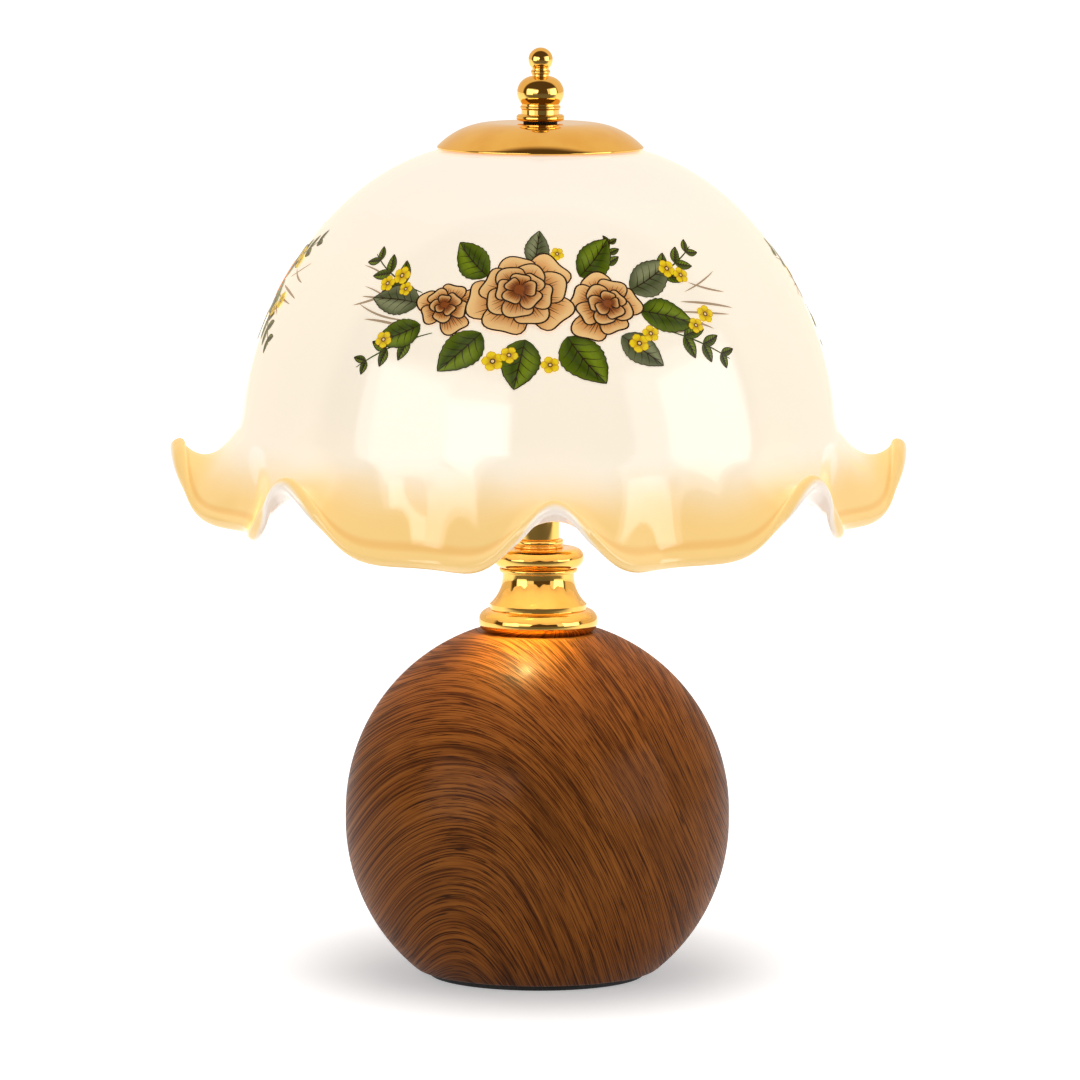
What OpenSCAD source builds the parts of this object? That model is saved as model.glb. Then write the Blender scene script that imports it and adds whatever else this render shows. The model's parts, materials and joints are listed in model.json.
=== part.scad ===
// Table lamp: a turned wooden ball, a polished brass neck and a ruffled glass shade.
// All sizes are in millimetres. +Z is up and the front faces -Y.
// The origin lies under the middle of the foot.

/* [Ball base] */
// Radius of the wooden ball
ball_r = 65.75; // [60:0.25:72]
// Height of the straight band between the two halves of the ball
ball_band = 3.3; // [0:0.1:8]
// Radius at which the ball is cut off below, before its edge is rounded
ball_foot_r = 40.9; // [38:0.1:46]
// Rounding of that lower edge
ball_edge_r = 4; // [1:0.5:6]
// Radius of the flat that the neck stands on
ball_seat_r = 23; // [21:0.5:30]
// Radius of the hollow that is turned into the underside
hollow_r = 25; // [22:0.5:28]
// Height of the hollow's ceiling above the ball's underside
hollow_h = 26; // [24:0.5:36]

/* [Foot] */
// Thickness of the foot pad
foot_t = 2; // [1:0.25:4]
// How far the pad's edge lies inside the ball's flat underside
foot_inset = 2.5; // [0.5:0.1:4]
// Thickness of the steel plate that closes the hollow
plate_t = 2; // [1:0.25:4]
// How far the plate reaches over the wood around the hollow
plate_lip = 8; // [7:0.25:9]
// Number of wood screws in the plate
plate_screws = 3; // [3:1:6]
// Shank radius of these screws
plate_screw_r = 1.5; // [1:0.1:1.8]
// Length of these screws from the face of the head
plate_screw_l = 12; // [8:0.5:16]

/* [Cord inlet] */
// Height of the inlet above the ball's underside
inlet_h = 18; // [16:0.5:20]
// Bore radius of the inlet bush
inlet_bore_r = 3.5; // [3:0.1:4]
// Wall of the bush's sleeve
inlet_wall = 1.2; // [0.8:0.1:1.5]
// Radius of the bush's flange
inlet_flange_r = 8; // [7:0.25:9]
// Thickness of the flange
inlet_flange_t = 2; // [1:0.25:3]

/* [Terminals] */
// Size of the terminal block along X
block_w = 9; // [8:0.5:10]
// Size of the terminal block along Y
block_l = 18; // [16:0.5:20]
// Height of the terminal block
block_h = 10; // [8:0.5:12]
// Distance of the block's inner face from the axis
block_x = 10.5; // [10:0.25:11]
// Distance between its two poles
pole_pitch = 9; // [8:0.5:10]
// Shank radius of the terminal screws
terminal_screw_r = 1.5; // [1:0.1:1.8]
// Radius of an insulated lead
lead_r = 1.1; // [0.9:0.05:1.2]

/* [Threaded rod] */
// Outer radius of the hollow rod
rod_r = 5; // [4.5:0.1:5.5]
// Bore radius of the rod
rod_bore_r = 3.5; // [3.2:0.1:3.8]
// How far the rod's lower end stands out of its nut
rod_tail = 3; // [1:0.5:5]
// Thickness of the plain washer under the ball's ceiling
washer_t = 1.6; // [1:0.1:2.5]
// Radius of that washer
washer_r = 10; // [9:0.25:12]
// Thickness of the lock washer
lock_washer_t = 0.8; // [0.5:0.1:1.5]
// Radius of the lock washer
lock_washer_r = 8.5; // [7.5:0.25:9]
// Distance across the flats of the rod's nuts
rod_nut_af = 14; // [13:0.25:16]
// Height of the lower nut
rod_nut_h = 4; // [3:0.25:6]
// Height of the upper nut
upper_nut_h = 3; // [2.5:0.25:4]

/* [Brass neck] */
// Height of the bell-shaped neck
neck_h = 29; // [26:0.5:34]
// Largest radius of the neck, at its lower bead
neck_low_r = 20.5; // [19:0.25:22]
// Radius of the lower bead's section
low_bead_r = 4.2; // [3.5:0.1:5]
// Height of the lower bead's middle above the neck's underside
low_bead_z = 3.8; // [3:0.1:4.5]
// Radius of the ledge above the lower bead
neck_ledge_r = 16.6; // [15:0.1:18]
// Radius of the waist
neck_waist_r = 12.3; // [11:0.1:13.5]
// Radius of the hollow curve that runs down from the waist
neck_curve_r = 13.3; // [11:0.1:16]
// Drop from the top of the neck to the waist
waist_drop = 9.6; // [8.5:0.1:11]
// Largest radius of the upper bead
neck_top_r = 15.6; // [14:0.1:17]
// Radius of the upper bead's section
top_bead_r = 3.5; // [2.5:0.1:4]
// Radius of the thin ring under the upper bead
neck_ring_r = 13.4; // [12.5:0.1:14.5]
// Height of that ring
neck_ring_h = 1.4; // [0.8:0.1:2]
// Wall of the neck at the waist
neck_wall = 1.8; // [1.2:0.1:2.5]
// Thickness of the neck's top
neck_top_t = 2; // [1.5:0.1:3]
// Radius of the collar above the neck
collar_r = 8.5; // [8:0.1:10]
// Height of the collar
collar_h = 3; // [2:0.1:5]
// Outer radius of the column tube
column_r = 7.2; // [6.8:0.1:8]
// Length of the column tube
column_h = 11; // [9:0.25:16]
// Radius of the flange on top of the column
flange_r = 9.5; // [9:0.1:12]
// Thickness of that flange
flange_t = 1.5; // [1:0.1:3]

/* [Shade carrier] */
// Height of the carrier from the saddle's underside to the top of its arch
harp_h = 115.6; // [112:0.1:125]
// Distance between the inner faces of the arch's legs
harp_w = 56; // [54:0.5:64]
// Width of the strip that the carrier is bent from
harp_strip_w = 12; // [10:0.5:16]
// Thickness of the strip
harp_strip_t = 2; // [1.5:0.1:3]
// Inner radius of the arch's bends
harp_bend_r = 12; // [8:0.5:20]
// Height of the saddle's ears
ear_h = 14; // [12:0.5:18]
// Shank radius of the screws that join the arch to the saddle
harp_screw_r = 2; // [1.5:0.1:2.5]
// Distance across the flats of their nuts
harp_nut_af = 7; // [6.5:0.1:8]
// Thickness of their nuts and heads
harp_nut_h = 2.4; // [2:0.1:3]
// Radius of the plate that the shade sits on
seat_r = 22; // [20:0.5:26]
// Thickness of that plate
seat_t = 1.5; // [1:0.1:3]
// Radius of the stud that holds the finial
stud_r = 3; // [2.5:0.1:3.4]
// Radius of the stud's head
stud_head_r = 5; // [4.5:0.1:6]
// Thickness of the stud's head
stud_head_t = 1.5; // [1:0.1:2]
// Distance across the flats of the stud's nut
stud_nut_af = 10; // [9:0.1:11]
// Height of the stud's nut
stud_nut_h = 3; // [2:0.1:3.5]

/* [Lamp holder] */
// Radius of the holder's cap
holder_cap_r = 20; // [19:0.25:21]
// Height of the holder's cap
holder_cap_h = 16; // [15:0.25:18]
// Thickness of the cap's floor, which grips the rod
holder_floor_t = 6; // [5:0.25:7]
// Wall of the cap
holder_wall = 2; // [1.5:0.1:2.5]
// Thickness of the core that carries the contacts
core_t = 4; // [3:0.25:5]
// Width of the ledge that the core rests on
core_ledge = 2; // [1.5:0.1:3]
// Radius of the holder's body
holder_body_r = 19.5; // [18:0.25:20]
// Height of the holder's body
holder_body_h = 24; // [21:0.25:25]
// Inner radius of the screw shell
shell_r = 13.35; // [13.2:0.05:13.6]
// Thickness of the screw shell
shell_t = 0.5; // [0.3:0.05:0.8]
// Height of the screw shell
shell_h = 20; // [17:0.25:21]
// Rise of the middle contact above the core
contact_rise = 2; // [1.5:0.1:3]
// Width of the contact strip
contact_w = 6; // [4:0.25:8]
// Thickness of the contact strip
contact_t = 0.6; // [0.4:0.05:0.8]
// Shank radius of the holder's small screws
holder_screw_r = 1.5; // [1.2:0.1:1.8]
// Distance of the holder's terminals from the axis
terminal_y = 9.5; // [9:0.25:10.5]

/* [Bulb] */
// Radius of the bulb's middle contact
tip_r = 5; // [4:0.25:5.5]
// Thickness of the middle contact
tip_t = 1.5; // [1:0.1:2]
// Height of the insulator between contact and cap
insulator_h = 3.5; // [3:0.1:4.5]
// Outer radius of the screw cap's thread
cap_thread_r = 13.1; // [12.9:0.05:13.15]
// Depth of the thread
thread_depth = 0.8; // [0.5:0.05:1]
// Pitch of the thread
thread_pitch = 3.62; // [3.5:0.01:3.7]
// Height of the screw cap
bulb_cap_h = 19; // [18:0.25:20]
// Height of the bulb's skirt
bulb_skirt_h = 15; // [13:0.25:17]
// Radius of the bulb's globe
bulb_r = 22.5; // [21:0.25:23.5]
// Radius of the skirt where it meets the globe
skirt_top_r = 19.9; // [18.5:0.1:20.5]
// Wall of the globe and skirt
bulb_wall = 1; // [0.8:0.1:1.5]
// Thickness of the circuit board
board_t = 1.2; // [0.8:0.1:1.6]

/* [Glass shade] */
// Thickness of the glass
glass_t = 4; // [3:0.1:5]
// Radius of the hole in the crown
crown_hole_r = 11; // [10.5:0.1:12]
// Radius of the flat crown
crown_r = 20; // [18:0.5:22]
// Radius of the waist, where the ruffle starts
waist_r = 103.3; // [95:0.1:112]
// Height of the dome from the waist to the crown
dome_h = 95.5; // [88:0.1:102]
// Number of arches in the ruffle
ruffles = 8; // [6:1:10]
// Turn of the first arch from the front, in degrees
ruffle_turn = 2.4; // [-10:0.1:10]
// Radius of the rim in the hanging lobes
lobe_r = 109.5; // [105:0.1:114]
// Drop of the lobes below the waist
lobe_drop = 33.6; // [30:0.1:40]
// Radius of the rim in the arches
arch_r = 122.6; // [116:0.1:130]
// Drop of the arches' rim below the waist
arch_drop = 9.6; // [5:0.1:14]
// Sway of the rim between the front and the sides
rim_sway = 4; // [0:0.1:5]
// Thickness of the gasket under the crown
gasket_t = 1.5; // [1:0.1:3]
// Thickness of the crown bush's flange
crown_flange_t = 1.5; // [1:0.1:2.5]
// Radius of the crown bush's flange
crown_flange_r = 15; // [13.5:0.1:18]

/* [Cap and finial] */
// Radius of the brass cap
cap_r = 35.2; // [33:0.1:38]
// Height of the brass cap
cap_h = 9; // [8.5:0.1:11]
// Radius of the curve of the cap
cap_curve_r = 26; // [24:0.25:30]
// Thickness of the cap's sheet
cap_t = 1; // [0.6:0.05:1.2]
// How far the cap's edge hangs below the crown's top
cap_drop = 1.9; // [1:0.1:1.9]
// Thickness of the washer under the finial
finial_washer_t = 0.5; // [0.3:0.05:0.8]
// How far that washer stays back from the edge of the finial's foot
finial_washer_inset = 2.4; // [2:0.1:2.8]
// Radius of the finial's foot
finial_foot_r = 8.2; // [8.1:0.1:10]
// Height of the finial's foot
finial_foot_h = 2.3; // [1.9:0.1:2.5]
// Radius of the grooves between foot and bulge
finial_groove_r = 6.5; // [6.2:0.1:6.9]
// Height of the grooved part
finial_groove_h = 3.8; // [3.5:0.1:4.5]
// Radius of the finial's bulge
finial_bulge_r = 8; // [7.7:0.1:8]
// Radius of the rounding that shapes the bulge
finial_bulge_round = 5.7; // [5.4:0.1:6]
// Height of the bulge's middle above the finial's underside
finial_bulge_z = 9.6; // [9.3:0.1:9.9]
// Radius of the thin neck above the bulge
finial_neck_r = 2.9; // [2.5:0.1:3.2]
// Radius of the finial's top ball
finial_ball_r = 4.15; // [3.75:0.05:4.5]
// Height of the top ball's middle above the finial's underside
finial_ball_z = 20.8; // [20.5:0.1:22]
// Depth of the finial's threaded bore
finial_bore_h = 11.7; // [11:0.1:12.5]
// How far the stud reaches into the finial
stud_grip = 9.7; // [9:0.1:10]

/* [Clearances] */
// Radial room around a rod, screw or stud that passes through a hole
pass_gap = 0.3; // [0.2:0.05:0.4]
// Radial room in a thread, which is modelled as a plain cylinder
thread_gap = 0.05; // [0.02:0.01:0.08]
// Room between seated curved pieces
seat_gap = 0.3; // [0.2:0.05:0.4]

/* [Hidden] */
$fn = 96;
// A small overshoot for cuts that run out of a face
cut = 1;
// Steps of the glass around, down the dome and down the ruffle
steps_around = 80;
steps_dome = 9;
steps_ruffle = 8;
// Sides of a lead
lead_sides = 8;

// Heights of the ball
z_ball = foot_t;
ball_low_z = z_ball + sqrt(ball_r * ball_r - ball_foot_r * ball_foot_r);
ball_high_z = ball_low_z + ball_band;
z_neck = ball_high_z + sqrt(ball_r * ball_r - ball_seat_r * ball_seat_r);
z_ceiling = z_ball + hollow_h;
// Middle of the rounding at the ball's lower edge
edge_z = z_ball + ball_edge_r;
edge_c = sqrt(pow(ball_r - ball_edge_r, 2) - pow(ball_low_z - edge_z, 2));
foot_r = edge_c - foot_inset;
plate_r = hollow_r + plate_lip;
plate_screw_circle = hollow_r + plate_lip / 2;
plate_head_r = 2 * plate_screw_r;

// Places of the cord inlet
inlet_z = z_ball + inlet_h;
inlet_sleeve_r = inlet_bore_r + inlet_wall;
inlet_pocket_r = inlet_flange_r + 2 * pass_gap;
pocket_low = ball_low_z - inlet_z + inlet_pocket_r;
inlet_floor_y = sqrt(ball_r * ball_r - pocket_low * pocket_low) - pass_gap;

// Heights of the rod's hardware below the ceiling
z_washer = z_ceiling - washer_t;
z_lock_washer = z_washer - lock_washer_t;
z_rod_nut = z_lock_washer - rod_nut_h;
z_rod = z_rod_nut - rod_tail;
rod_hole_r = rod_r + pass_gap;
rod_thread_r = rod_r + thread_gap;

// Heights of the stack on the neck
z_collar = z_neck + neck_h;
z_column = z_collar + collar_h;
z_flange = z_column + column_h;
z_saddle = z_flange + flange_t;
z_upper_nut = z_saddle + harp_strip_t;
z_holder = z_upper_nut + upper_nut_h;
z_rod_top = z_holder + holder_floor_t - cut;

// Places in the shade carrier
harp_in = harp_w / 2;
harp_out = harp_in + harp_strip_t;
ear_in = harp_in - harp_strip_t;
z_ear_screw = z_saddle + harp_strip_t + ear_h / 2;
z_harp_leg = z_saddle + harp_strip_t;
z_harp = z_saddle + harp_h;
z_seat = z_harp;
z_gasket = z_seat + seat_t;
z_crown_under = z_gasket + gasket_t;
z_crown = z_crown_under + glass_t;
z_waist = z_crown - dome_h;
stud_hole_r = stud_r + pass_gap;
nut_room_r = stud_nut_af / 2 / cos(30) + 2 * pass_gap;

// Heights of the lamp holder
z_core = z_holder + holder_cap_h - core_t;
z_shell = z_holder + holder_cap_h;
core_r = holder_cap_r - holder_wall - seat_gap;
contact_l = 12;

// Heights of the bulb
z_tip = z_shell + contact_rise + thread_gap;
z_insulator = z_tip + tip_t;
z_bulb_cap = z_insulator + insulator_h;
z_skirt = z_bulb_cap + bulb_cap_h;
z_globe = z_skirt + bulb_skirt_h;
globe_c = z_globe + sqrt(bulb_r * bulb_r - skirt_top_r * skirt_top_r);
thread_root_r = cap_thread_r - thread_depth;
cap_wall = 0.5;
skirt_low_r = cap_thread_r + cap_wall;
board_r = skirt_top_r - 2 * bulb_wall;

// Heights of the cap and finial
z_cap = z_crown - cap_drop;
z_cap_top = z_cap + cap_h;
z_finial_washer = z_cap_top;
z_finial = z_finial_washer + finial_washer_t;
z_stud_top = z_finial + stud_grip;
cap_curve_z = z_cap_top - cap_curve_r;
cap_curve_c = cap_r - sqrt(pow(cap_curve_r, 2) - pow(cap_curve_r - cap_h, 2));

// Finishes as the lamp shows them
wood = "#8a5a3a";
brass = "#d9a441";
steel = "#b9bcc0";
black = "#2a2a2a";
phenolic = "#3a3330";
porcelain = "#efece4";
opal = "#fff3dc";
copper_lead = "#7a4a2a";
neutral_lead = "#3f6fb5";
silicone = "#d8d8d4";
board_green = "#e9ece6";

// Shared shapes

// A ring or disc that stands on z
module ring(z, h, r, hole) {
    translate([0, 0, z]) difference() {
        cylinder(h = h, r = r);
        translate([0, 0, -cut]) cylinder(h = h + 2 * cut, r = hole);
    }
}

// A hexagon nut that stands on z
module hex_nut(z, h, across, hole) {
    translate([0, 0, z]) difference() {
        cylinder(h = h, r = across / 2 / cos(30), $fn = 6);
        translate([0, 0, -cut]) cylinder(h = h + 2 * cut, r = hole);
    }
}

// Keeps the half of a flat outline that lies on the positive side of the axis, between two heights
module right_half(low, high, reach) {
    intersection() {
        children();
        translate([0, low]) square([reach, high - low]);
    }
}

// A rod along +X from x0 to x1 at a height
module rod_x(x0, x1, z, r) {
    translate([x0, 0, z]) rotate([0, 90, 0]) cylinder(h = x1 - x0, r = r);
}

// A rod along +Y from y0 to y1 at a height
module rod_y(y0, y1, z, r) {
    translate([0, y0, z]) rotate([-90, 0, 0]) cylinder(h = y1 - y0, r = r);
}

// Puts copies at even steps around the axis
module around(count, radius) {
    for (i = [0 : count - 1]) rotate([0, 0, 90 + i * 360 / count]) translate([radius, 0, 0]) children();
}

function unit(v) = v / norm(v);

// A tube swept along a list of points, closed at both ends
module swept_tube(path, r, sides) {
    last = len(path) - 1;
    side = [1, 0, 1];
    heading = [for (i = [0 : last]) unit(path[min(i + 1, last)] - path[max(i - 1, 0)])];
    across = [for (i = [0 : last]) unit(cross(side, heading[i]))];
    rise = [for (i = [0 : last]) cross(heading[i], across[i])];
    points = [for (i = [0 : last]) for (k = [0 : sides - 1])
        path[i] + r * (across[i] * cos(k * 360 / sides) + rise[i] * sin(k * 360 / sides))];
    walls = [for (i = [0 : last - 1]) for (k = [0 : sides - 1]) let (n = (k + 1) % sides)
        each [[i * sides + k, (i + 1) * sides + n, i * sides + n],
              [i * sides + k, (i + 1) * sides + k, (i + 1) * sides + n]]];
    start = [for (k = [1 : sides - 2]) [0, k, k + 1]];
    end = [for (k = [1 : sides - 2]) [last * sides, last * sides + k + 1, last * sides + k]];
    polyhedron(points, concat(start, walls, end), convexity = 6);
}

// Ball base and foot

// Outline of the ball: two half circles with a straight band, cut flat at both ends, lower edge rounded
module ball_outline() {
    reach = edge_c + ball_r;
    tangent = ball_r / (ball_r - ball_edge_r);
    right_half(z_ball, z_neck, reach) union() {
        difference() {
            union() {
                translate([0, ball_low_z]) circle(r = ball_r);
                translate([0, ball_high_z]) circle(r = ball_r);
                translate([0, ball_low_z]) square([ball_r, ball_band]);
            }
            polygon([[edge_c, edge_z],
                     [edge_c * tangent, ball_low_z + (edge_z - ball_low_z) * tangent],
                     [reach, z_ball - cut], [edge_c, z_ball - cut]]);
        }
        translate([edge_c, edge_z]) circle(r = ball_edge_r);
    }
}

module ball_base() {
    color(wood) difference() {
        rotate_extrude() ball_outline();
        translate([0, 0, z_ball - cut]) cylinder(h = plate_t + cut, r = plate_r + pass_gap);
        translate([0, 0, z_ball]) cylinder(h = hollow_h, r = hollow_r);
        cylinder(h = z_neck + cut, r = rod_hole_r);
        around(plate_screws, plate_screw_circle) translate([0, 0, z_ball])
            cylinder(h = plate_screw_l + cut, r = plate_screw_r + thread_gap);
        rod_y(0, inlet_floor_y + cut, inlet_z, inlet_sleeve_r + pass_gap);
        rod_y(inlet_floor_y, ball_r + cut, inlet_z, inlet_pocket_r);
    }
}

module foot_pad() {
    color(black) cylinder(h = foot_t, r = foot_r);
}

module base_plate() {
    color(steel) translate([0, 0, z_ball]) difference() {
        cylinder(h = plate_t, r = plate_r);
        around(plate_screws, plate_screw_circle) union() {
            translate([0, 0, -cut]) cylinder(h = plate_t + 2 * cut, r = plate_screw_r + pass_gap);
            cylinder(h = plate_screw_r + pass_gap,
                     r1 = plate_head_r + pass_gap, r2 = plate_screw_r + pass_gap);
        }
    }
}

module base_plate_screws() {
    slot_w = plate_screw_r / 2;
    color(steel) around(plate_screws, plate_screw_circle) translate([0, 0, z_ball]) difference() {
        union() {
            cylinder(h = plate_screw_l, r = plate_screw_r);
            cylinder(h = plate_screw_r, r1 = plate_head_r, r2 = plate_screw_r);
        }
        // Slot for a screwdriver
        translate([-plate_head_r, -slot_w / 2, 0]) cube([2 * plate_head_r, slot_w, slot_w]);
    }
}

module cord_bush() {
    color(black) difference() {
        union() {
            rod_y(inlet_floor_y, inlet_floor_y + inlet_flange_t, inlet_z, inlet_flange_r);
            rod_y(hollow_r, inlet_floor_y + inlet_flange_t, inlet_z, inlet_sleeve_r);
        }
        rod_y(hollow_r - cut, inlet_floor_y + inlet_flange_t + cut, inlet_z, inlet_bore_r);
    }
}

// Terminals and leads
z_block = z_ball + plate_t;
z_pole = z_block + 0.4 * block_h;
pole_hole_r = lead_r + thread_gap * 10;
lead_offset = rod_bore_r - lead_r - pass_gap;
lead_end_z = z_holder + holder_floor_t + lead_r + 2;

module terminal_block() {
    color(porcelain) difference() {
        translate([block_x, -block_l / 2, z_block]) cube([block_w, block_l, block_h]);
        for (side = [-1, 1]) translate([0, side * pole_pitch / 2, 0]) {
            rod_x(block_x - cut, block_x + block_w + cut, z_pole, pole_hole_r);
            translate([block_x + block_w / 2, 0, z_pole])
                cylinder(h = block_h, r = terminal_screw_r + thread_gap);
        }
    }
}

module terminal_screws() {
    low = z_pole + pole_hole_r;
    high = z_block + block_h;
    slot_w = terminal_screw_r / 2;
    color(steel) for (side = [-1, 1])
        translate([block_x + block_w / 2, side * pole_pitch / 2, 0]) difference() {
            translate([0, 0, low]) cylinder(h = high - low, r = terminal_screw_r);
            translate([-terminal_screw_r, -slot_w / 2, high - slot_w])
                cube([2 * terminal_screw_r, slot_w, 2 * slot_w]);
        }
}

// Route of a lead: out of the block, up through the rod and out to its terminal in the holder
function lead_route(side) = [
    [block_x + block_w / 2 - terminal_screw_r, side * pole_pitch / 2, z_pole],
    [block_x, side * pole_pitch / 2, z_pole],
    [block_x - 3, side * pole_pitch / 2, z_pole + 0.3],
    [block_x * 0.45, side * (pole_pitch / 2 + lead_offset) / 2, z_pole + 2.5],
    [block_x * 0.15, side * (lead_offset + 0.4), (z_pole + z_rod) / 2 + 1],
    [0, side * lead_offset, z_rod],
    [0, side * lead_offset, z_rod + 2 * rod_tail],
    [0, side * lead_offset, (z_rod + z_rod_top) / 2],
    [0, side * lead_offset, z_rod_top - 2 * lead_r],
    [0, side * (lead_offset + 0.3), z_rod_top + 0.6],
    [0, side * (lead_offset + 1.6), lead_end_z - 1],
    [0, side * (lead_offset + 3.4), lead_end_z],
    [0, side * (terminal_y - 1.5 * holder_screw_r - pass_gap), lead_end_z]];

module lead_live() {
    color(copper_lead) swept_tube(lead_route(1), lead_r, lead_sides);
}

module lead_neutral() {
    color(neutral_lead) swept_tube(lead_route(-1), lead_r, lead_sides);
}

// Rod and its hardware

module rod() {
    color(brass) ring(z_rod, z_rod_top - z_rod, rod_r, rod_bore_r);
}

module rod_washer() {
    color(steel) ring(z_washer, washer_t, washer_r, rod_hole_r);
}

module rod_lock_washer() {
    color(steel) ring(z_lock_washer, lock_washer_t, lock_washer_r, rod_hole_r);
}

module rod_nut() {
    color(steel) hex_nut(z_rod_nut, rod_nut_h, rod_nut_af, rod_thread_r);
}

module upper_nut() {
    color(brass) hex_nut(z_upper_nut, upper_nut_h, rod_nut_af, rod_thread_r);
}

// Brass neck

// Outline of the neck above its underside: lower bead, ledge, hollow curve, thin ring and upper bead
module neck_outline() {
    waist_z = neck_h - waist_drop;
    ring_z = neck_h - 2 * top_bead_r - neck_ring_h;
    right_half(0, neck_h, neck_low_r) union() {
        translate([neck_low_r - low_bead_r, low_bead_z]) circle(r = low_bead_r);
        square([neck_low_r - low_bead_r, low_bead_z + low_bead_r]);
        difference() {
            square([neck_ledge_r, waist_z]);
            translate([neck_waist_r + neck_curve_r, waist_z]) circle(r = neck_curve_r);
        }
        square([neck_waist_r, neck_h]);
        translate([0, ring_z]) square([neck_ring_r, neck_ring_h]);
        translate([neck_top_r - top_bead_r, neck_h - top_bead_r]) circle(r = top_bead_r);
    }
}

module neck_bell() {
    color(brass) translate([0, 0, z_neck]) difference() {
        rotate_extrude() neck_outline();
        translate([0, 0, -cut]) cylinder(h = neck_h - neck_top_t + cut, r = neck_waist_r - neck_wall);
        cylinder(h = neck_h + cut, r = rod_hole_r);
    }
}

module neck_collar() {
    color(brass) ring(z_collar, collar_h, collar_r, rod_hole_r);
}

module column_tube() {
    color(brass) ring(z_column, column_h, column_r, rod_hole_r);
}

module column_flange() {
    color(brass) ring(z_flange, flange_t, flange_r, rod_hole_r);
}

// Shade carrier

// Outline with straight legs and a rounded top
module arch_outline(half, low, high, bend) {
    translate([-half, low]) square([2 * half, high - bend - low]);
    translate([bend - half, low]) square([2 * (half - bend), high - low]);
    for (side = [-1, 1]) translate([side * (half - bend), high - bend]) circle(r = bend);
}

module harp_saddle() {
    color(brass) difference() {
        union() {
            translate([-harp_in, -harp_strip_w / 2, z_saddle])
                cube([2 * harp_in, harp_strip_w, harp_strip_t]);
            for (side = [0, 1]) mirror([side, 0, 0]) translate([ear_in, -harp_strip_w / 2, z_saddle])
                cube([harp_strip_t, harp_strip_w, harp_strip_t + ear_h]);
        }
        translate([0, 0, z_saddle - cut]) cylinder(h = harp_strip_t + 2 * cut, r = rod_hole_r);
        rod_x(-harp_out, harp_out, z_ear_screw, harp_screw_r + pass_gap);
    }
}

module harp_arch() {
    color(brass) difference() {
        translate([0, harp_strip_w / 2, 0]) rotate([90, 0, 0])
            linear_extrude(height = harp_strip_w) difference() {
                arch_outline(harp_out, z_harp_leg, z_harp, harp_bend_r + harp_strip_t);
                arch_outline(harp_in, z_harp_leg - cut, z_harp - harp_strip_t, harp_bend_r);
            }
        rod_x(-harp_out - cut, harp_out + cut, z_ear_screw, harp_screw_r + pass_gap);
        translate([0, 0, z_harp - 2 * harp_strip_t]) cylinder(h = 3 * harp_strip_t, r = stud_hole_r);
    }
}

module harp_screws() {
    screw_l = 2 * harp_strip_t + harp_nut_h;
    color(steel) for (side = [0, 1]) mirror([side, 0, 0]) difference() {
        union() {
            rod_x(harp_out - screw_l, harp_out, z_ear_screw, harp_screw_r);
            rod_x(harp_out, harp_out + harp_nut_h, z_ear_screw, 1.75 * harp_screw_r);
        }
        translate([harp_out + harp_nut_h / 2, -2 * harp_screw_r, z_ear_screw - harp_screw_r / 5])
            cube([harp_nut_h, 4 * harp_screw_r, 0.4 * harp_screw_r]);
    }
}

module harp_nuts() {
    color(steel) for (side = [0, 1]) mirror([side, 0, 0]) difference() {
        translate([ear_in - harp_nut_h, 0, z_ear_screw]) rotate([0, 90, 0])
            cylinder(h = harp_nut_h, r = harp_nut_af / 2 / cos(30), $fn = 6);
        rod_x(ear_in - harp_nut_h - cut, ear_in + cut, z_ear_screw, harp_screw_r + thread_gap);
    }
}

module shade_seat() {
    color(brass) ring(z_seat, seat_t, seat_r, stud_hole_r);
}

module shade_stud() {
    color(brass) union() {
        translate([0, 0, z_harp - harp_strip_t - stud_head_t]) cylinder(h = stud_head_t, r = stud_head_r);
        translate([0, 0, z_harp - harp_strip_t - stud_head_t])
            cylinder(h = z_stud_top - z_harp + harp_strip_t + stud_head_t, r = stud_r);
    }
}

module stud_nut() {
    color(brass) hex_nut(z_gasket, stud_nut_h, stud_nut_af, stud_r + thread_gap);
}

// Lamp holder

module holder_cap() {
    color(phenolic) translate([0, 0, z_holder]) difference() {
        cylinder(h = holder_cap_h, r = holder_cap_r);
        translate([0, 0, holder_floor_t]) cylinder(h = holder_cap_h, r = core_r - core_ledge);
        translate([0, 0, holder_cap_h - core_t]) cylinder(h = core_t + cut, r = holder_cap_r - holder_wall);
        translate([0, 0, -cut]) cylinder(h = holder_floor_t + 2 * cut, r = rod_thread_r);
        rod_x(0, holder_cap_r + cut, holder_floor_t / 2, holder_screw_r + thread_gap);
    }
}

module holder_core() {
    color(porcelain) difference() {
        translate([0, 0, z_core]) cylinder(h = core_t, r = core_r);
        for (side = [-1, 1]) translate([0, side * terminal_y, z_core - cut])
            cylinder(h = core_t, r = holder_screw_r + thread_gap);
    }
}

module holder_body() {
    color(phenolic) ring(z_shell, holder_body_h, holder_body_r, shell_r + shell_t + seat_gap);
}

module holder_screw_shell() {
    color(brass) ring(z_shell, shell_h, shell_r + shell_t, shell_r);
}

// A strip that lies on the core and rises to a flat tongue under the bulb
module holder_contact() {
    half = contact_l / 2;
    color(brass) translate([0, contact_w / 2, z_shell]) rotate([90, 0, 0])
        linear_extrude(height = contact_w) union() {
            translate([-half, 0]) square([contact_l, contact_t]);
            translate([-half, 0]) square([contact_t, contact_rise]);
            translate([-half, contact_rise - contact_t]) square([contact_l - contact_t, contact_t]);
        }
}

module holder_terminal_screws() {
    head_z = lead_end_z - lead_r;
    head_r = 1.5 * holder_screw_r;
    color(brass) for (side = [-1, 1]) translate([0, side * terminal_y, 0]) {
        translate([0, 0, z_core - 1]) cylinder(h = core_t - cut, r = holder_screw_r);
        translate([0, 0, head_z]) cylinder(h = z_core - head_z, r = head_r);
    }
}

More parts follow.
